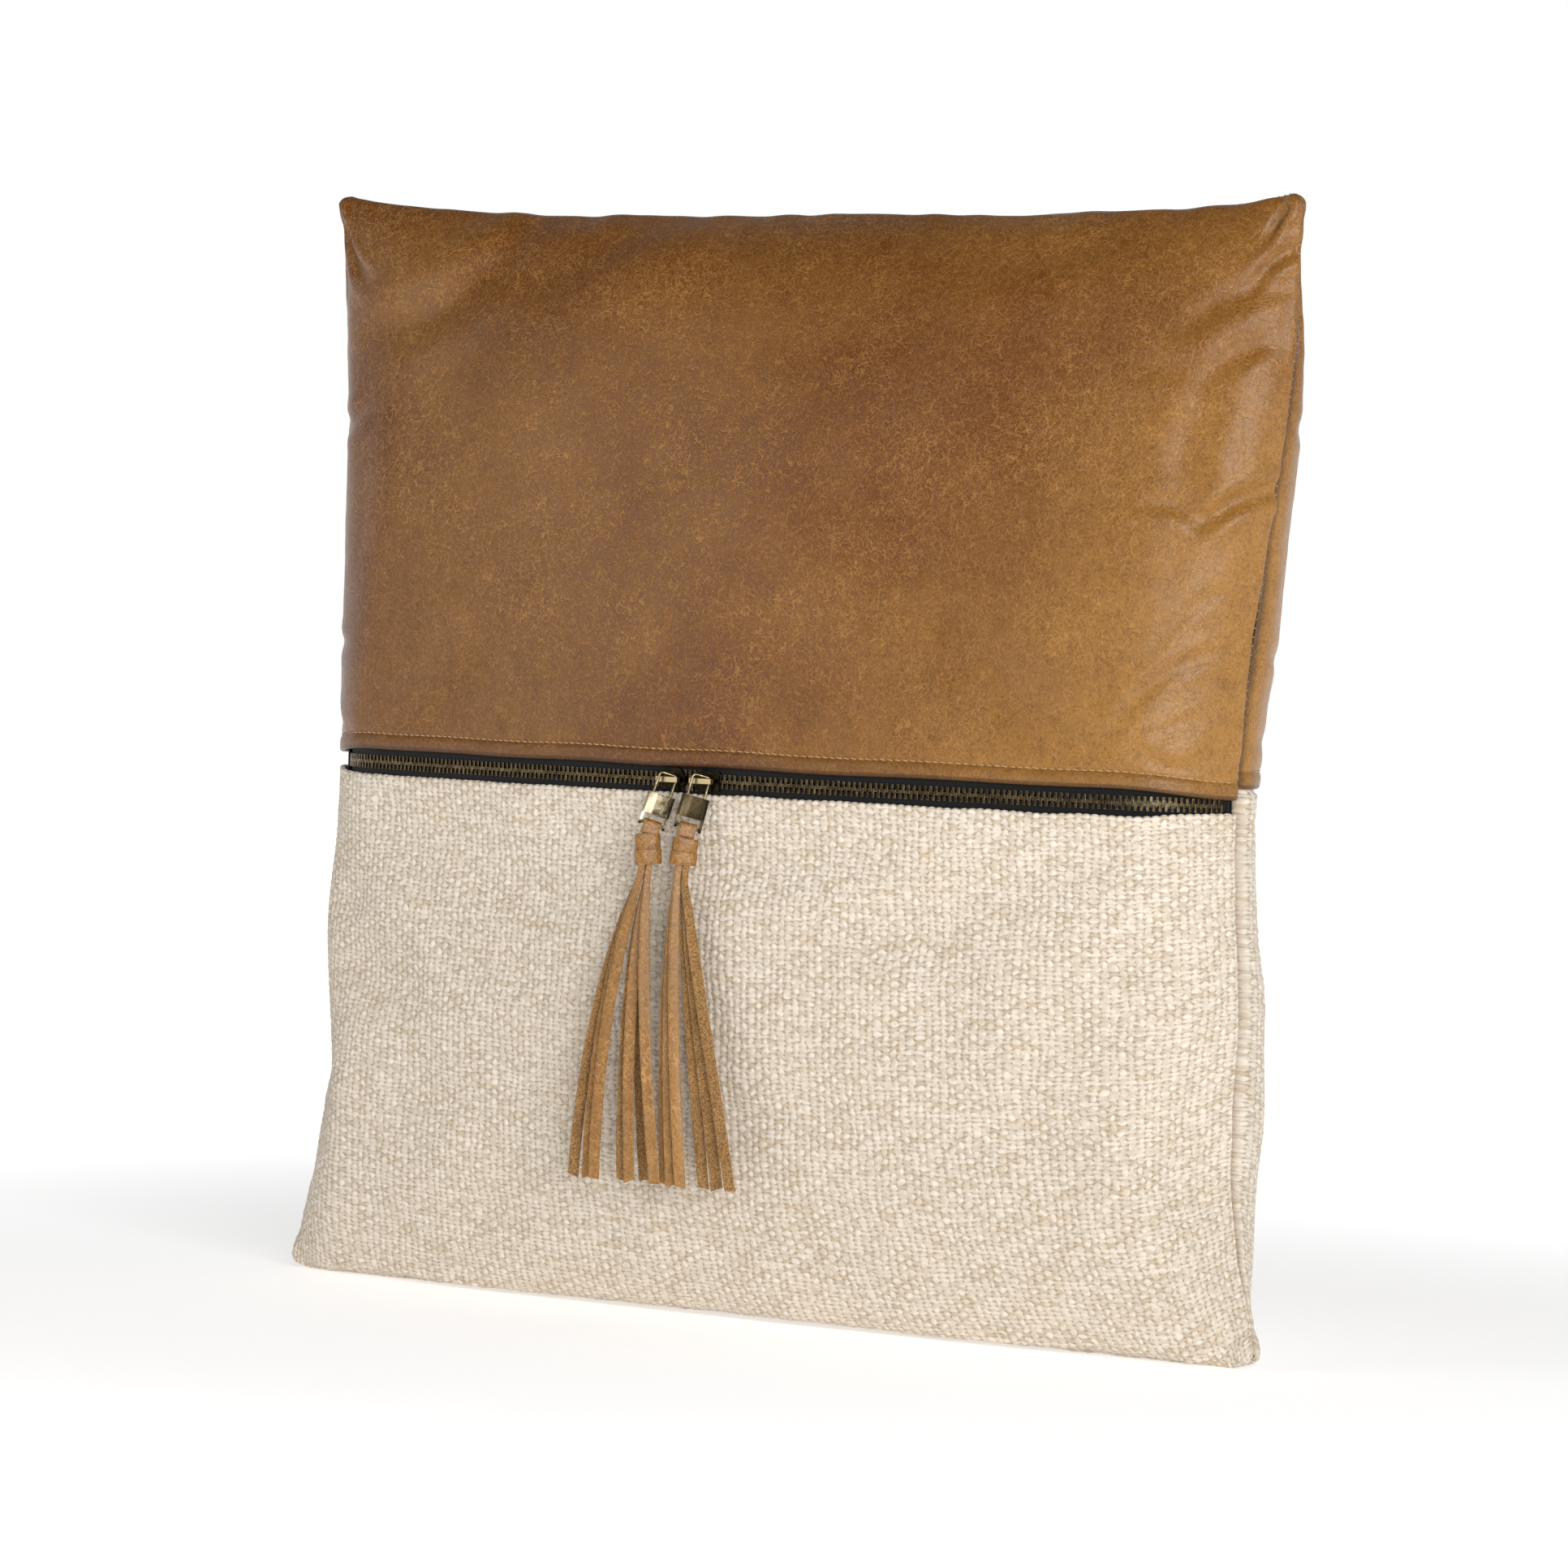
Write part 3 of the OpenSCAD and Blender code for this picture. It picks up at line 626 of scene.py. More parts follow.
def hem_stitches(name, grid, facing, back):
    count = int((FLAT_W - 8 * MM) / STITCH_PITCH)
    p = (np.arange(count) - (count - 1) / 2) * STITCH_PITCH
    m = leather_hem(p, back) + STITCH_UP
    half = 1.35 * MM
    lean = 0.25 * MM
    lift = leather_lift(back)
    a, na = surface(grid, facing, p - half, m + lean, lift)
    b, _ = surface(grid, facing, p + half, m - lean, lift)
    proud = na * 0.02 * MM
    return stitches(name, a + proud, b + proud, na * 0.28 * MM, 0.26 * MM)


def seam_stitches(name):
    """The thread that shows in the perimeter seam's groove."""
    pitch = 3.6 * MM
    up = np.arange(8 * MM, FLAT_H - 8 * MM, pitch)
    wide = np.arange(-FLAT_W / 2 + 8 * MM, FLAT_W / 2 - 8 * MM, pitch)
    inset = 0.35 * MM
    p = np.concatenate([0 * up - FLAT_W / 2 + inset, 0 * up + FLAT_W / 2 - inset, wide])
    m = np.concatenate([up, up, 0 * wide + FLAT_H - inset])
    lift = seam_lift(p, m) + 0.25 * MM
    front, nf = surface(FRONT, 1, p, m, lift)
    rear, nb = surface(BACK, -1, p, m, lift)
    out = nf + nb
    out /= np.linalg.norm(out, axis=-1, keepdims=True)
    middle = (front + rear) / 2
    depth = np.array([0, 0.9 * MM, 0])
    return stitches(name, middle - depth, middle + depth, out * 0.25 * MM, 0.24 * MM)


# ---- insert
def closed_pair(name, low, high):
    """A closed mesh between two grids of the same size that meet nowhere."""
    rows, cols = low.shape[:2]
    n = rows * cols
    ids = np.arange(n).reshape(rows, cols)
    faces = [*grid_faces(rows, cols), *grid_faces(rows, cols, first=n, flip=True)]
    for line, flip in ((ids[0], True), (ids[-1], False), (ids[:, 0], False), (ids[:, -1], True)):
        for a, b in zip(line[:-1], line[1:]):
            quad = [a, b, n + b, n + a]
            faces.append(quad[::-1] if flip else quad)
    return new_mesh(name, np.concatenate([low.reshape(-1, 3), high.reshape(-1, 3)]), faces)


INSERT_CELLS = 60
ZIP_DENT = 3.5 * MM       # how far the zip and its sliders press the insert in


def insert_face(grid, facing, inset, deep):
    """A face deep inside the cover's, drawn together at its own edge, and its flat coordinates."""
    low = inset * 0.6
    p = np.linspace(-FLAT_W / 2 + inset, FLAT_W / 2 - inset, INSERT_CELLS + 1)
    m = np.linspace(low, FLAT_H - inset, INSERT_CELLS + 1)
    p, m = np.meshgrid(p, m)
    behind_zip = ZIP_DENT * hump(m, FLAT_LOW, 12 * MM) if facing > 0 else 0
    points, _ = surface(grid, facing, p, m, -deep - behind_zip)
    d = np.minimum(np.minimum(FLAT_W / 2 - inset - np.abs(p), FLAT_H - inset - m), m - low)
    points[..., 1] *= 1 - np.exp(-d / (5 * MM))
    points[..., 2] = np.maximum(points[..., 2], deep * 0.5)
    return points, np.stack([p, m, 0 * p], -1).reshape(-1, 3)


def insert_piece(name, faces, flat, slot, replaced):
    obj = closed_pair(name, *faces)
    store(obj, "flat", np.concatenate([flat, flat]))
    return finish_piece(obj, "root", [MAT[slot]], [replaced])


def build_insert():
    for side, grid, facing in (("front", FRONT, 1), ("back", BACK, -1)):
        outer, flat = insert_face(grid, facing, 10 * MM, 5.5 * MM)
        inner, _ = insert_face(grid, facing, 11 * MM, 6.1 * MM)
        outer[..., 1] -= 0.25 * MM * facing
        faces = (outer, inner)[::facing]
        obj = insert_piece(f"insert_{side}_ticking", faces, flat, "ticking", f"insert_{side}_panel")
    low, flat = insert_face(FRONT, 1, 13 * MM, 8 * MM)
    high, _ = insert_face(BACK, -1, 13 * MM, 8 * MM)
    gap = np.array([0, 0.4 * MM, 0])
    pad = insert_piece("insert_filling_pad", (low - gap, high + gap), flat, "filling", "insert_filling")


# ---- node building
class Value:
    """A node's output that takes part in arithmetic, where each operation becomes a math node."""

    def __init__(self, nodes, socket):
        self.nodes, self.socket = nodes, socket

    def __add__(self, other):
        return self.nodes.math("ADD", self, other)

    def __sub__(self, other):
        return self.nodes.math("SUBTRACT", self, other)

    def __rsub__(self, other):
        return self.nodes.math("SUBTRACT", other, self)

    def __mul__(self, other):
        return self.nodes.math("MULTIPLY", self, other)

    def __truediv__(self, other):
        return self.nodes.math("DIVIDE", self, other)

    __radd__, __rmul__ = __add__, __mul__


class Nodes:
    """Adds shader nodes to a tree. Its methods take values or numbers and return values."""

    def __init__(self, tree):
        self.tree = tree

    def feed(self, socket, value):
        if isinstance(value, Value):
            self.tree.links.new(value.socket, socket)
        else:
            socket.default_value = value

    def node(self, kind, out, inputs=(), **settings):
        n = self.tree.nodes.new("ShaderNode" + kind)
        for key, value in settings.items():
            setattr(n, key, value)
        for key, value in dict(inputs).items():
            self.feed(n.inputs[key], value)
        return Value(self, n.outputs[out])

    def place(self, kind="Object"):
        return self.node("TexCoord", kind)

    def attribute(self, name, out="Fac"):
        return self.node("Attribute", out, attribute_name=name)

    def parts(self, vector):
        first = self.node("SeparateXYZ", 0, {0: vector})
        return [Value(self, out) for out in first.socket.node.outputs]

    def vector(self, x, y, z=0.0):
        return self.node("CombineXYZ", 0, {0: x, 1: y, 2: z})

    def math(self, what, a, b=0.0):
        return self.node("Math", 0, {0: a, 1: b}, operation=what)

    def noise(self, where, size, detail=2.0, rough=0.5, warp=0.0, out="Fac"):
        """Noise whose blobs are about size metres across."""
        return self.node("TexNoise", out, {"Vector": where, "Scale": 1 / size, "Detail": detail,
                                           "Roughness": rough, "Distortion": warp})

    def cells(self, where, size, feature="F1"):
        return self.node("TexVoronoi", "Distance", {"Vector": where, "Scale": 1 / size}, feature=feature)

    def step(self, value, low, high, to_low=0.0, to_high=1.0):
        """A smooth step from to_low at low to to_high at high."""
        inputs = {"Value": value, "From Min": low, "From Max": high, "To Min": to_low, "To Max": to_high}
        return self.node("MapRange", "Result", inputs, interpolation_type="SMOOTHSTEP")

    def mix(self, factor, a, b):
        a, b = (c if isinstance(c, Value) else (*c, 1.0) for c in (a, b))
        return self.node("Mix", 2, {0: factor, 6: a, 7: b}, data_type="RGBA")

    def over(self, colour, *layers):
        """A colour under layers of (value, where its smooth step starts and ends, most cover, tint)."""
        for value, low, high, most, tint in layers:
            colour = self.mix(self.step(value, low, high, 0.0, most), colour, tint)
        return colour

    def bump(self, height, depth, below=None):
        """Bump whose height of 0 to 1 is depth metres, over the normal below."""
        inputs = {"Distance": depth, "Height": height}
        if below is not None:
            inputs["Normal"] = below
        return self.node("Bump", "Normal", inputs)


class Shade(Nodes):
    """One material. Sockets of its shader are named with underscores for spaces."""

    def __init__(self, name, **fixed):
        self.mat = bpy.data.materials.new(name)
        self.mat.use_nodes = True
        super().__init__(self.mat.node_tree)
        self.done(**fixed)

    def done(self, **sockets):
        shader = self.tree.nodes["Principled BSDF"]
        for key, value in sockets.items():
            self.feed(shader.inputs[key.replace("_", " ")], value)
        return self.mat


# ---- materials
def leather_material(name, dark, mid, light, grain=1.0, scuff=0.5, attributes=True):
    """Waxed leather: a net of fine pale creases, pores, clouds of colour, painted sheen towards the lower
    right, painted shade in the seam groove and hem fold, and a darker strip along the hem.
    """
    s = Shade(name, Specular_IOR_Level=0.3, Coat_Weight=0.07, Coat_Roughness=0.2)
    where = s.place()
    cloud = s.noise(where, 90 * MM, 4, 0.55, 0.3)
    mottle = s.noise(where, 7 * MM, 4, 0.6)
    net, wide_net = (
        s.cells(s.mix(bend, where, s.noise(where, blob, 3, out="Color")), size, "DISTANCE_TO_EDGE")
        for bend, blob, size in ((0.03, 7 * MM, 3.4 * MM), (0.05, 16 * MM, 11 * MM)))
    pores = s.cells(where, 1.1 * MM)
    fine = s.noise(where, 0.45 * MM, 3, 0.65)
    pebble = s.noise(where, 1.5 * MM, 4, 0.65)
    patch = s.step(s.noise(where, 55 * MM, 3, 0.6), 0.4, 0.68)
    x, _, z = s.parts(where)
    # Painted sheen: the leather is lighter towards the right and the bottom, where the key light's sheen
    # falls.
    painted_sheen = s.step(x - z * 0.8, -0.21, 0.02, 0.0, 0.72)
    pale = tuple(c * 1.3 + 0.008 for c in light)
    crack = s.step(net, 0.1, 0.0) * (0.5 + patch * 0.4)
    crease = s.step(wide_net, 0.04, 0.0) * (0.65 + patch * 0.6)
    colour = s.mix(s.step(cloud, 0.33, 0.68, 0.0, 0.3) + painted_sheen, mid, light)
    colour = s.over(colour, (mottle, 0.58, 0.3, 0.24, dark), (pores, 0.5, 0.1, 0.24, dark),
                    (pebble, 0.5, 0.38, 0.3, dark))
    colour = s.mix(crack * (scuff * 1.1), colour, pale)
    colour = s.mix(crease * (0.75 * scuff), colour, pale)
    if attributes:
        seam, hem = s.attribute("seam_near"), s.attribute("hem_near")
        # Painted shade in the perimeter seam's groove and where the hem folds under, and a slightly darker
        # strip between the hem and its stitching.
        deep = tuple(c * 0.3 for c in dark)
        colour = s.over(colour, (seam, 1.9 * MM, 0.1 * MM, 0.75, deep),
                        (hem, 6.8 * MM, 5.6 * MM, 0.25, dark), (hem, 1.0 * MM, 0.1 * MM, 0.6, deep))
    heights = [(s.step(net, 0.0, 0.14), 0.05), (s.step(wide_net, 0.0, 0.07), 0.12), (pores, 0.03),
               (pebble, 0.05), (fine, 0.03)]
    bump = None
    for height, depth in heights:
        bump = s.bump(height, depth * MM * grain, bump)
    rough = s.step(mottle * 0.5 + fine * 0.5, 0.25, 0.8, 0.27, 0.44)
    return s.done(Base_Color=colour, Roughness=rough, Normal=bump)


def suede_material(name, dark, light):
    """The rough flesh side of leather: a short nap with pale fibre ends."""
    s = Shade(name, Roughness=0.95, Specular_IOR_Level=0.12, Sheen_Weight=0.25, Sheen_Roughness=0.5)
    where = s.place()
    nap = s.noise(where, 0.75 * MM, 4, 0.8)
    cloud = s.noise(where, 14 * MM, 4, 0.6)
    colour = s.over(dark, (nap, 0.38, 0.62, 1.0, light), (cloud, 0.3, 0.7, 0.35, dark))
    return s.done(Base_Color=colour, Normal=s.bump(nap, 0.3 * MM))


def weave_nodes(s, u, v):
    """weave_height() as nodes, with some floats plumper: its height, and where the upright floats show."""
    plump = s.step(s.noise(s.vector(u, v), 4 * MM, 2, 0.6), 0.3, 0.7, 1.35, 0.7)
    x, y = u / YARN_X, v / YARN_Y
    heights = {GRAIN: 0.0, FLECK: 0.0}
    for step in (-1, 0, 1):
        row = s.math("FLOOR", y) + step
        dy = y - row - 0.5
        for kind, shift in ((GRAIN, 0.5), (FLECK, 1.5)):
            half_w, half_h, tall = kind
            wide = (s.math("FRACT", (x + row + shift) * 0.5) - 0.5) * (2 / half_w)
            high = dy / half_h
            filled = 1.0 - (wide * wide + high * high) * plump
            here = s.math("SQRT", s.math("MAXIMUM", filled, 0.0))
            heights[kind] = s.math("MAXIMUM", heights[kind], here * tall)
    level = s.math("COSINE", (s.math("FRACT", y) - 0.5) * math.pi)
    level = s.math("MAXIMUM", level * 0.25, heights[FLECK])
    return s.math("MAXIMUM", heights[GRAIN], level), s.step(heights[GRAIN] - level, -0.05, 0.1)


def weave_material():
    """Chunky plain weave in undyed yarn, following the yarns of the mesh's own relief, with painted shade
    between the yarns and in the seam's groove.
    """
    s = Shade("woven_fabric", Specular_IOR_Level=0.12, Sheen_Weight=0.15, Sheen_Roughness=0.6)
    u, v, _ = s.parts(s.attribute("flat", "Vector"))
    height, on_grain = weave_nodes(s, u, v)
    flat = s.vector(u, v)
    each = s.noise(flat, 2.6 * MM, 2, 0.5)
    streak = s.noise(s.vector(u * 0.16, s.math("FLOOR", v / YARN_Y) * (3.7 * MM)), 2 * MM, 2)
    fibre = s.noise(flat, 0.35 * MM, 3, 0.7, 1.0)
    cloud = s.noise(flat, 45 * MM, 3, 0.6)
    upright = s.mix(s.step(each, 0.3, 0.7), (0.52, 0.44, 0.35), (0.735, 0.66, 0.565))
    across = s.mix(s.step(streak, 0.35, 0.66), (0.44, 0.35, 0.24), (0.69, 0.6, 0.485))
    colour = s.over(
        s.mix(on_grain, across, upright),
        (streak, 0.44, 0.3, 0.45, (0.55, 0.42, 0.27)),
        (fibre, 0.35, 0.72, 0.3, (0.82, 0.755, 0.665)),
        (cloud, 0.4, 0.7, 0.15, (0.7, 0.58, 0.45)),
        # Painted shade in the hollows between the yarns.
        (height, 0.42, 0.05, 0.65, (0.31, 0.235, 0.155)),
        # Painted shade in the perimeter seam's groove.
        (s.attribute("seam_near"), 2.5 * MM, 0.2 * MM, 0.6, (0.3, 0.22, 0.15)))
    twist = s.math("SINE", v * 6500 + u * 5200)
    bump = s.bump(fibre, 0.12 * MM, s.bump(height + twist * 0.07, 0.45 * MM))
    return s.done(Base_Color=colour, Roughness=s.step(fibre, 0.2, 0.8, 0.8, 0.98), Normal=bump)


def plain_cloth(name, dark, light, pitch, depth, rough):
    """Fine plain weave for tape, ticking and fibre, from two crossed sets of lines."""
    s = Shade(name, Specular_IOR_Level=0.25, Sheen_Weight=0.1)
    x, y, z = s.parts(s.place())
    turn = 2 * math.pi / pitch
    cross = s.math("SINE", (x + y * 0.4) * turn) * s.math("SINE", z * turn)
    fuzz = s.noise(s.place(), pitch * 0.7, 3, 0.7)
    raised = cross * 0.5 + fuzz
    colour = s.mix(s.step(raised, -0.1, 1.1), dark, light)
    rough = s.step(fuzz, 0.2, 0.8, rough, 1.0)
    return s.done(Base_Color=colour, Roughness=rough, Normal=s.bump(raised, depth))


def metal_material(name, dark, light, rough_low, rough_high, wear, wear_and_highlight=None, bare_and_highlight=None):
    """Antique brass: patina with lighter patches, pits and fine scratches, and where asked, worn metal or a
    painted highlight in a brighter colour.
    """
    s = Shade(name, Metallic=1.0)
    where = s.place()
    patina = s.noise(where, 2.6 * MM, 5, 0.7, 0.6)
    speck = s.noise(where, 0.5 * MM, 3, 0.7)
    x, y, z = s.parts(where)
    scratch = s.noise(s.vector(x * 5, y * 5, z), 1.6 * MM, 4, 0.7)
    pit = tuple(c * 0.45 for c in dark)
    colour = s.over(dark, (patina, 0.38, 0.7, wear, light), (speck, 0.55, 0.72, 0.5, pit),
                    (scratch, 0.6, 0.72, 0.4, light))
    if wear_and_highlight:
        # Worn metal, as on the slider's crown bar, or a painted highlight, as on the locks' left halves.
        colour = s.mix(wear_and_highlight(s, x, y, z), colour, bare_and_highlight)
    rough = s.step(patina * 0.5 + speck * 0.5, 0.3, 0.7, rough_high, rough_low)
    bump = s.bump(speck, 0.02 * MM, s.bump(scratch, 0.015 * MM))
    return s.done(Base_Color=colour, Roughness=rough, Normal=bump)


def on_crown_bar(s, x, y, z):
    """The slider's crown bar, which lies further out than its plates."""
    deep = y - ARC_Y
    radius = s.math("SQRT", x * x + deep * deep)
    return s.step(radius, FRONT_R + 4.5 * MM, FRONT_R + 5.6 * MM, 0.0, 0.85)


def box_metal(side, dark, light):
    """The lock's box: dark with speckled patina, and a painted highlight in the colour light on its left
    half.
    """
    low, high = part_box(f"pull_box_{side}")
    middle = (low.x + high.x) / 2

    # Where the highlight is painted: the box's left half, above its foot.
    def painted_highlight_half(s, x, y, z):
        across = (x - middle) + (z - (low.z + 10 * MM)) * -0.2
        return s.step(across, 0.4 * MM, -0.8 * MM) * s.step(z, low.z + 4.5 * MM, low.z + 6 * MM)

    half = tuple(c * 0.5 for c in light)
    return metal_material(f"lock_patina_and_highlight_{side}", dark, half, 0.2, 0.45, 0.6, painted_highlight_half, light)


def thread_material(name, dark, light):
    s = Shade(name, Roughness=0.6, Specular_IOR_Level=0.3, Sheen_Weight=0.2)
    x, y, z = s.parts(s.place())
    ply = s.math("SINE", (x + y + z * 2) * 9000)
    raised = ply * 0.25 + s.noise(s.place(), 0.3 * MM, 2)
    return s.done(Base_Color=s.mix(s.step(raised, 0.2, 0.8), dark, light), Normal=s.bump(raised, 0.05 * MM))


TASSEL_LOOK = {"grain": 0.8, "scuff": 0.8, "attributes": False}
MAT = {
    "leather": leather_material("leather", (0.06, 0.017, 0.001), (0.113, 0.032, 0.001),
                                (0.31, 0.148, 0.029)),
    "weave": weave_material(),
    "thread": thread_material("thread", (0.3, 0.16, 0.06), (0.62, 0.42, 0.22)),
    "tape": plain_cloth("zip_tape", (0.001, 0.001, 0.001), (0.006, 0.006, 0.006), 0.9 * MM, 0.12 * MM, 0.75),
    "ticking": plain_cloth("ticking", (0.68, 0.66, 0.6), (0.9, 0.88, 0.83), 0.6 * MM, 0.06 * MM, 0.8),
    "filling": plain_cloth("filling", (0.75, 0.75, 0.73), (0.95, 0.95, 0.94), 2.4 * MM, 0.5 * MM, 0.9),
    "brass_edge": metal_material("antique_brass_edge", (0.3, 0.23, 0.13), (0.62, 0.52, 0.33), 0.18, 0.36,
                                 0.8),
    "slider": metal_material("slider_patina", (0.008, 0.0065, 0.004), (0.04, 0.031, 0.018), 0.25, 0.45, 0.5,
                             on_crown_bar, (0.5, 0.4, 0.22)),
    # Both locks are the same brass: the left one's lighter colours are painted light, with a painted
    # highlight on its left half.
    "box_left": box_metal("left", (0.03, 0.023, 0.012), (0.42, 0.35, 0.23)),
    "box_right": box_metal("right", (0.018, 0.014, 0.007), (0.06, 0.045, 0.024)),
    "teeth": metal_material("tooth_brass", (0.025, 0.018, 0.009), (0.17, 0.12, 0.06), 0.3, 0.5, 0.6),
    "tooth_edge": metal_material("tooth_edge", (0.26, 0.19, 0.1), (0.66, 0.52, 0.3), 0.25, 0.4, 0.7),
    "wire": metal_material("wire_brass", (0.12, 0.095, 0.055), (0.42, 0.34, 0.2), 0.2, 0.34, 0.7),
    "strip": leather_material("tassel_grain", (0.08, 0.03, 0.004), (0.19, 0.083, 0.012),
                              (0.36, 0.18, 0.048), **TASSEL_LOOK),
    "loop": leather_material("tassel_loop_grain", (0.08, 0.03, 0.004), (0.2, 0.085, 0.012),
                             (0.35, 0.17, 0.045), **TASSEL_LOOK),
    "suede": suede_material("suede", (0.13, 0.06, 0.016), (0.45, 0.26, 0.105)),
    "raw": suede_material("raw_edge", (0.26, 0.14, 0.06), (0.66, 0.47, 0.28)),
}


# ---- zip hardware from the CAD model
def dress(node, faces, edges=None, bevel=0.0, segments=2):
    """Gives a CAD node its material and softens its edges, in a brighter metal where edges is given."""
    obj = frame["nodes"][node]
    obj.data.materials.clear()
    obj.data.materials.append(faces)
    if not bevel:
        return
    obj.data.materials.append(edges)
    weld = obj.modifiers.new("weld", "WELD")
    weld.merge_threshold = 0.001 * MM
    soft = obj.modifiers.new("bevel", "BEVEL")
    soft.width = bevel
    soft.segments = segments
    soft.limit_method = "ANGLE"
    soft.angle_limit = math.radians(35)
    soft.use_clamp_overlap = True
    soft.material = 1
    soft.harden_normals = True


def zip_end(side, sign):
    """Dark tape behind the zip's end, which carries it into the side seam."""
    p = np.sort(sign * np.linspace(222 * MM, FLAT_W / 2 - 1.5 * MM, 16))
    p, m = np.meshgrid(p, FLAT_LOW + np.linspace(-9 * MM, 9 * MM, 10))
    layers = []
    for deep in (3.4 * MM, 4.0 * MM):
        layer, _ = surface(FRONT, 1, p, m, -deep)
        layer[..., 1] = np.minimum(layer[..., 1], deep - 4.2 * MM)
        layers.append(layer)
    finish_piece(closed_pair(f"zip_end_{side}", *layers), "root", [MAT["tape"]])


def dress_hardware():
    for row in ("upper", "lower"):
        dress(f"zipper_tape_{row}", MAT["tape"])
        dress(f"zipper_teeth_{row}", MAT["teeth"], MAT["tooth_edge"], 0.12 * MM, 1)
    for side, sign in (("left", -1), ("right", 1)):
        zip_end(side, sign)
        dress(f"slider_{side}", MAT["slider"], MAT["brass_edge"], 0.14 * MM)
        dress(f"pull_shackle_{side}", MAT["wire"])
        dress(f"pull_box_{side}", MAT[f"box_{side}"], MAT["brass_edge"], 0.3 * MM, 3)
        dress(f"pull_pin_{side}", MAT["wire"], MAT["brass_edge"], 0.12 * MM)


# ---- tassels
def smooth_rings(values, count):
    """Catmull-Rom through the first axis, resampled to count rows."""
    rows, w = cubic(len(values), np.linspace(0, len(values) - 1, count))
    shape = (-1,) + (1,) * (values.ndim - 1)
    return sum(values[rows[k]] * w[k].reshape(shape) for k in range(4))


def tassel_piece(name, side, rings, faces, index, materials, replaced):
    """A mesh through rings of points, with a material index for each face."""
    obj = new_mesh(name, rings.reshape(-1, 3), faces)
    finish_piece(obj, f"tassel_{side}", [MAT[m] for m in materials], replaced)
    obj.data.polygons.foreach_set("material_index", index)


def strap(name, side, rings, materials, replaced):
    """A closed strap whose rings of points follow FULL_SECTION."""
    count, sides = rings.shape[:2]
    faces = [*ring_faces(count, sides).reshape(-1, 4), *end_faces(count, sides)]
    tassel_piece(name, side, rings, faces, FACE_SIDES * (count - 1) + [2, 2], materials, replaced)


def corners(node, digits):
    """The different corner points of a CAD node, rounded to some digits of a metre."""
    mesh = frame["nodes"][node].data
    co = np.zeros(len(mesh.vertices) * 3)
    mesh.vertices.foreach_get("co", co)
    return np.unique(co.reshape(-1, 3).round(digits), axis=0)


# Half of a strip's section, as shares of its half width and half thickness. The corners are rounded.
SECTION = [(-1, -0.35), (-0.97, -0.8), (-0.9, -1), (-0.6, -1.03), (-0.2, -1.05), (0.2, -1.05), (0.6, -1.03),
           (0.9, -1), (0.97, -0.8), (1, -0.35)]
FULL_SECTION = np.array(SECTION + [(-x, -y) for x, y in SECTION])
# Material index for the face after each section point: 0 the grain side, 1 the suede side, 2 the cut edges.
FACE_SIDES = [2] + [0] * 7 + [2, 2] + [2] + [1] * 7 + [2, 2]
REAR_STRIPS_OUT = 1.8 * MM    # how far the rear strips' tips stand out, to clear the cover at the zip's ends
STRIP_ROWS = 90
STRIP_LENGTH = 140 * MM
SUEDE_FRONT = {("left", 5), ("left", 6), ("left", 8), ("right", 2), ("right", 6), ("right", 8), ("right", 4)}


def strip_lines(node):
    """A CAD strip's middle line with its half width and half thickness vectors, resampled to STRIP_ROWS."""
    co = corners(node, 7)
    levels = np.unique(co[:, 2].round(6))[::-1]
    middle, wide, thick = [], [], []
    for z in levels:
        ring = co[np.abs(co[:, 2] - z) < 0.01 * MM]
        centre = ring.mean(0)
        _, _, axes = np.linalg.svd(ring - centre)
        reach = np.abs((ring - centre) @ axes.T).max(0)
        wide.append(axes[0] * reach[0] * (1 if axes[0][0] > 0 else -1))
        thick.append(axes[1] * reach[1] * (1 if -axes[1][1] > 0 else -1))
        middle.append(centre)
    return [smooth_rings(np.array(a), STRIP_ROWS) for a in (middle, wide, thick)]


def tassel_strip(side, number):
    """A strip on its CAD line that sways and curls towards its tip, with slightly ragged cut edges."""
    node = f"tassel_strip_{side}_{number}"
    middle, wide, thick = strip_lines(node)
    seed = number + (20 if side == "left" else 40)
    t = np.linspace(0, 1, STRIP_ROWS)
    free = np.clip((t - 0.15) / 0.85, 0, 1)
    along = t * STRIP_LENGTH
    sway = ripple(seed, along, 0 * t, 60 * MM, STRIP_LENGTH, 4)
    if number > 6:
        middle[:, 1] -= REAR_STRIPS_OUT * free
    thick_n = thick / np.linalg.norm(thick, axis=1, keepdims=True)
    wide_n = wide / np.linalg.norm(wide, axis=1, keepdims=True)
    middle = middle + thick_n * (0.7 * MM * free * sway)[:, None]
    curl = (-1) ** number * 0.35 * MM * free
    rings = np.zeros((STRIP_ROWS, len(FULL_SECTION), 3))
    for k, (a, b) in enumerate(FULL_SECTION):
        ragged = ripple(seed + 60 + (a > 0), along, 0 * t, 1.6 * MM, 5 * MM, 12)
        ragged = 0.12 * MM * ragged * abs(a) ** 6 * np.sign(a)
        bend = curl * (a * a - 0.4)
        rings[:, k] = middle + wide * (0.96 * a) - thick * (0.9 * b)
        rings[:, k] += wide_n * ragged[:, None] + thick_n * bend[:, None]
    slant = (seed % 5 - 2) * 0.5 * MM
    rings[-1, :, 2] += FULL_SECTION[:, 0] * slant
    rings[-2, :, 2] += FULL_SECTION[:, 0] * slant * 0.5
    faces = ("suede", "strip", "raw") if (side, number) in SUEDE_FRONT else ("strip", "suede", "raw")
    strap(f"{node}_leather", side, rings, faces, [node])


def tassel_frame(side):
    """The pin's middle and the directions along the pin, outward and up the pull."""
    tassel, pull = JOINTS[f"tassel_{side}_swing"], JOINTS[f"pull_{side}_swing"]
    pin = np.array(tassel["pos_m"])
    along = -np.array(tassel["axis"])
    up = np.array(pull["pos_m"]) - pin
    up -= along * (up @ along)
    up /= np.linalg.norm(up)
    return pin, along, np.cross(along, up), up


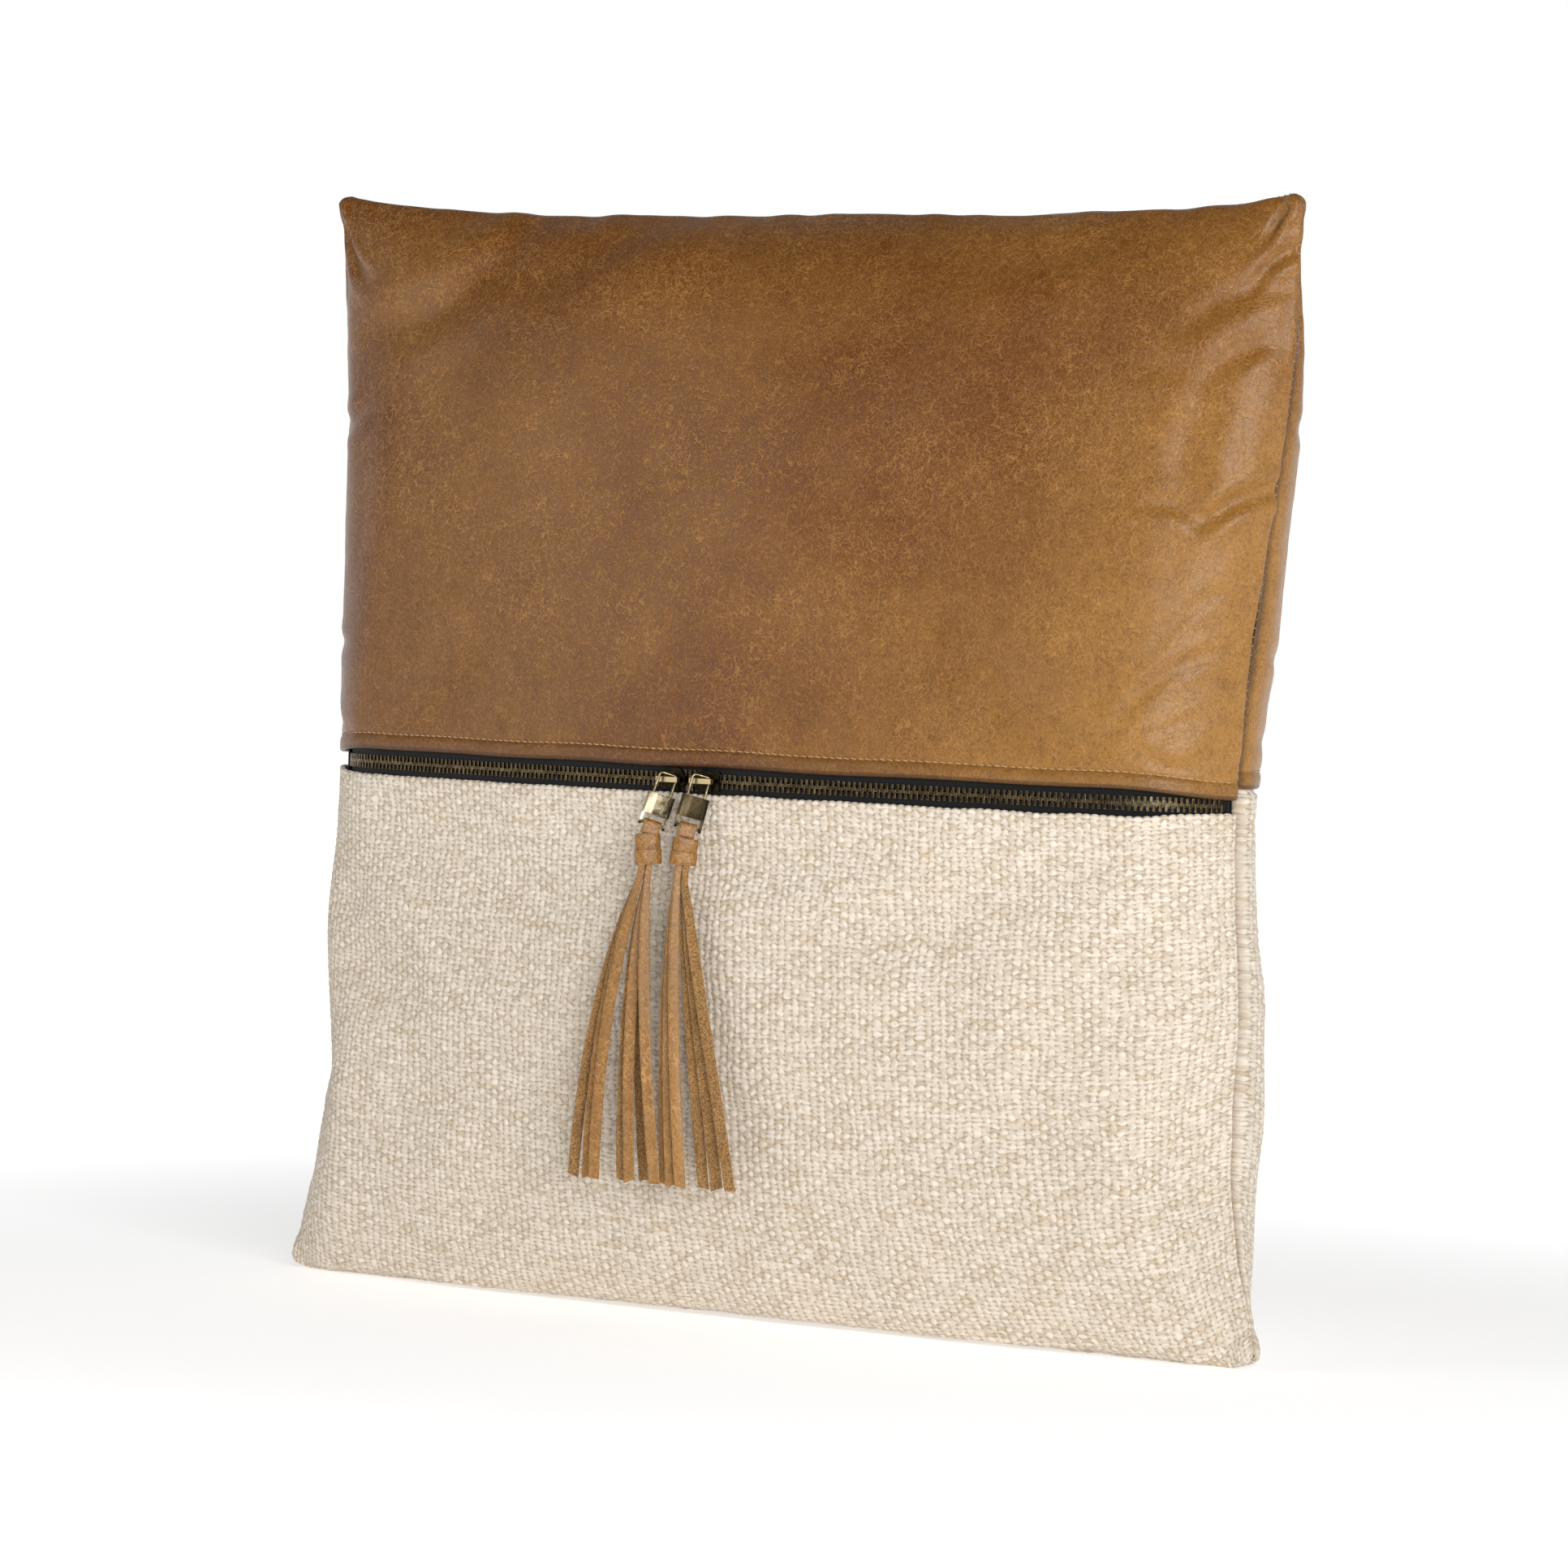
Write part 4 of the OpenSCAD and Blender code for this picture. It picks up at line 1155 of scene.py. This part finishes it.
def tassel_loop(side):
    """A strap that goes over the pin and down into the collar on both sides."""
    pin, along, deep, up = tassel_frame(side)
    mid_r, leg, half_w, half_t = 1.36 * MM, 4.6 * MM, 3.75 * MM, 0.58 * MM
    legs = np.linspace(-leg, 0, 7)[:-1]
    turn = np.linspace(0, math.pi, 19)
    y = np.concatenate([0 * legs - mid_r, -mid_r * np.cos(turn), 0 * legs + mid_r])
    z = np.concatenate([legs, mid_r * np.sin(turn), legs[::-1]])
    ny = np.concatenate([0 * legs - 1, -np.cos(turn), 0 * legs + 1])
    nz = np.concatenate([0 * legs, np.sin(turn), 0 * legs])
    rings = np.zeros((len(y), len(FULL_SECTION), 3))
    for k, (a, b) in enumerate(FULL_SECTION):
        wob = 0.1 * MM * ripple(77, np.arange(len(y)) * MM, 0 * y, 3 * MM, 9 * MM) * abs(a) ** 4 * np.sign(a)
        r_y, r_z = y + ny * half_t * -b, z + nz * half_t * -b
        rings[:, k] = pin + along * (half_w * a + wob)[:, None] + deep * r_y[:, None] + up * r_z[:, None]
    strap(f"tassel_loop_{side}_leather", side, rings, ("loop", "suede", "raw"), [f"tassel_loop_{side}"])


# A collar band's section: how far down it each ring of points lies, and how far out as a share of its wall.
BAND_PROFILE = [(0.0, -1), (0.0, -0.25), (0.02, 0.0), (0.06, 0.06), (0.25, 0.1), (0.5, 0.12), (0.75, 0.1),
                (0.94, 0.06), (0.98, 0.0), (1.0, -0.25), (1.0, -1)]
BAND_SIDES = [2, 2] + [0] * 6 + [2, 2, 1]
BAND_POINTS = 64
BAND_HALF = (5.3 * MM, 3.8 * MM)
BAND_WALL = 1.1 * MM
BAND_SQUARE = 3.2         # the power of the band's rounded oblong: 2 would be an ellipse


def collar_frame(side):
    """The collar's top, its height, and its directions up, across and outward."""
    co = corners(f"tassel_collar_{side}", 6)
    low, high = co[:, 2].min(), co[:, 2].max()
    foot, head = (co[np.abs(co[:, 2] - z) < 1.2 * MM].mean(0) for z in (low, high))
    axis = (head - foot) / np.linalg.norm(head - foot)
    _, along, _, _ = tassel_frame(side)
    wide = along - axis * (along @ axis)
    wide /= np.linalg.norm(wide)
    rel = (co - co.mean(0)) @ axis
    return co.mean(0) + axis * rel.max(), np.ptp(rel), axis, wide, np.cross(axis, wide)


def tassel_collar(side):
    """Two bands of leather wrapped round the head of the strips, with raw edges."""
    top, height, axis, wide, deep = collar_frame(side)
    turn = np.arange(BAND_POINTS) / BAND_POINTS * 2 * math.pi
    round_x, round_y = (np.sign(f(turn)) * np.abs(f(turn)) ** (2 / BAND_SQUARE) for f in (np.cos, np.sin))
    band_h = height / 2 - 0.15 * MM
    count = len(BAND_PROFILE)
    quads = ring_faces(count + 1, BAND_POINTS)[..., [1, 0, 3, 2]] % (count * BAND_POINTS)
    for band, (start, grow) in enumerate(((0.0, 0.0), (0.5, 0.35 * MM))):
        rings = np.zeros((count, BAND_POINTS, 3))
        tilt = 0.25 * MM * np.cos(turn + 1.3 + 2.2 * band)
        for r, (f, out) in enumerate(BAND_PROFILE):
            wave = 0.09 * MM * ripple(90 + band + 2 * (f > 0.5), turn * 4 * MM, 0 * turn, 2 * MM, 7 * MM)
            reach_w, reach_d = (half + grow + out * BAND_WALL for half in BAND_HALF)
            drop = start * height + f * band_h
            across = (round_x * reach_w)[:, None] * wide + (round_y * reach_d)[:, None] * deep
            rings[r] = top - axis * drop + across - ((tilt + wave) * (0.3 < f))[:, None] * axis
        tassel_piece(f"tassel_collar_{side}_band_{band + 1}", side, rings, quads.reshape(-1, 4),
                     np.repeat(BAND_SIDES, BAND_POINTS), ("strip", "suede", "raw"),
                     [] if band else [f"tassel_collar_{side}"])


def build_tassels():
    for side in ("left", "right"):
        tassel_loop(side)
        tassel_collar(side)
        for number in range(1, 9):
            tassel_strip(side, number)


# ---- build everything
def build_cover():
    for kind, panel in (("leather", leather_panel), ("fabric", fabric_panel)):
        for side, grid, facing in (("front", FRONT, 1), ("back", BACK, -1)):
            name = f"{side}_{kind}"
            panel(f"{name}_cover", grid, facing, side == "back", [f"{name}_panel"])
    front_thread = hem_stitches("front_hem_stitches", FRONT, 1, False)
    back_thread = hem_stitches("back_hem_stitches", BACK, -1, True)
    seam_thread = seam_stitches("perimeter_seam_stitches")


build_insert()
build_cover()
dress_hardware()
build_tassels()

# ---- camera, lights, floor
CAM_AZ = math.radians(32.849)
CAM_EL = math.radians(1.149)
CAM_ROLL = math.radians(2.42)
CAM_DIST = 2.813
CAM_SIDE = 3 * MM
CAM_DROP = -14 * MM
LENS = 149.07


def add_camera():
    level = Vector((math.cos(CAM_AZ), math.sin(CAM_AZ), 0))
    back = Vector((level.y, -level.x, 0)) * math.cos(CAM_EL) + Vector((0, 0, math.sin(CAM_EL)))
    rise = back.cross(level)
    right = level * math.cos(CAM_ROLL) + rise * math.sin(CAM_ROLL)
    up = rise * math.cos(CAM_ROLL) - level * math.sin(CAM_ROLL)
    data = bpy.data.cameras.new("camera")
    data.lens = LENS
    data.sensor_width = 36
    camera = bpy.data.objects.new("camera", data)
    spot = Vector((0, 0, COVER_H / 2)) + back * CAM_DIST + right * CAM_SIDE + up * CAM_DROP
    m = Matrix((right, up, back)).transposed().to_4x4()
    m.translation = spot
    camera.matrix_world = m
    bpy.context.scene.collection.objects.link(camera)
    bpy.context.scene.camera = camera


LIT_SPOT = Vector((0, 0, 0.25))


def add_light(name, spot, size, power):
    data = bpy.data.lights.new(name, "AREA")
    data.size = size
    data.energy = power
    lamp = bpy.data.objects.new(name, data)
    lamp.location = spot
    lamp.rotation_euler = (LIT_SPOT - Vector(spot)).to_track_quat("-Z", "Y").to_euler()
    bpy.context.scene.collection.objects.link(lamp)


def add_floor():
    """A pale paper floor that glows more with distance, so it meets the white studio without a line."""
    s = Shade("floor", Roughness=0.9, Specular_IOR_Level=0.1)
    where = s.place()
    x, y, _ = s.parts(where)
    away = s.math("SQRT", x * x + y * y)
    tone = s.mix(s.noise(where, 0.8, 2), (0.92, 0.92, 0.92), (0.95, 0.95, 0.95))
    floor = new_mesh("floor", [(-9, -9, 0), (9, -9, 0), (9, 9, 0), (-9, 9, 0)], [(0, 1, 2, 3)])
    floor.data.materials.append(
        s.done(Base_Color=tone, Emission_Color=tone, Emission_Strength=s.step(away, 0.3, 1.4, 0.46, 1.0)))


def add_world():
    """A white studio: bright behind the pillow at eye level, dimmer overhead and in front."""
    world = bpy.data.worlds.new("world")
    bpy.context.scene.world = world
    world.use_nodes = True
    s = Nodes(world.node_tree)
    _, y, z = s.parts(s.place("Generated"))
    background = world.node_tree.nodes["Background"]
    s.feed(background.inputs["Strength"], s.step(z, 0.15, 0.7, 1.0, 0.3) * s.step(y, -0.3, 0.35, 0.42, 1.0))
    s.feed(background.inputs["Color"], (1, 1, 1, 1))


add_camera()
add_floor()
add_world()
add_light("key", (2.15, -1.95, 0.75), 1.7, 72)
add_light("fill", (-2.2, -2.8, 1.2), 2.0, 24)
bpy.context.scene.view_settings.view_transform = "Standard"
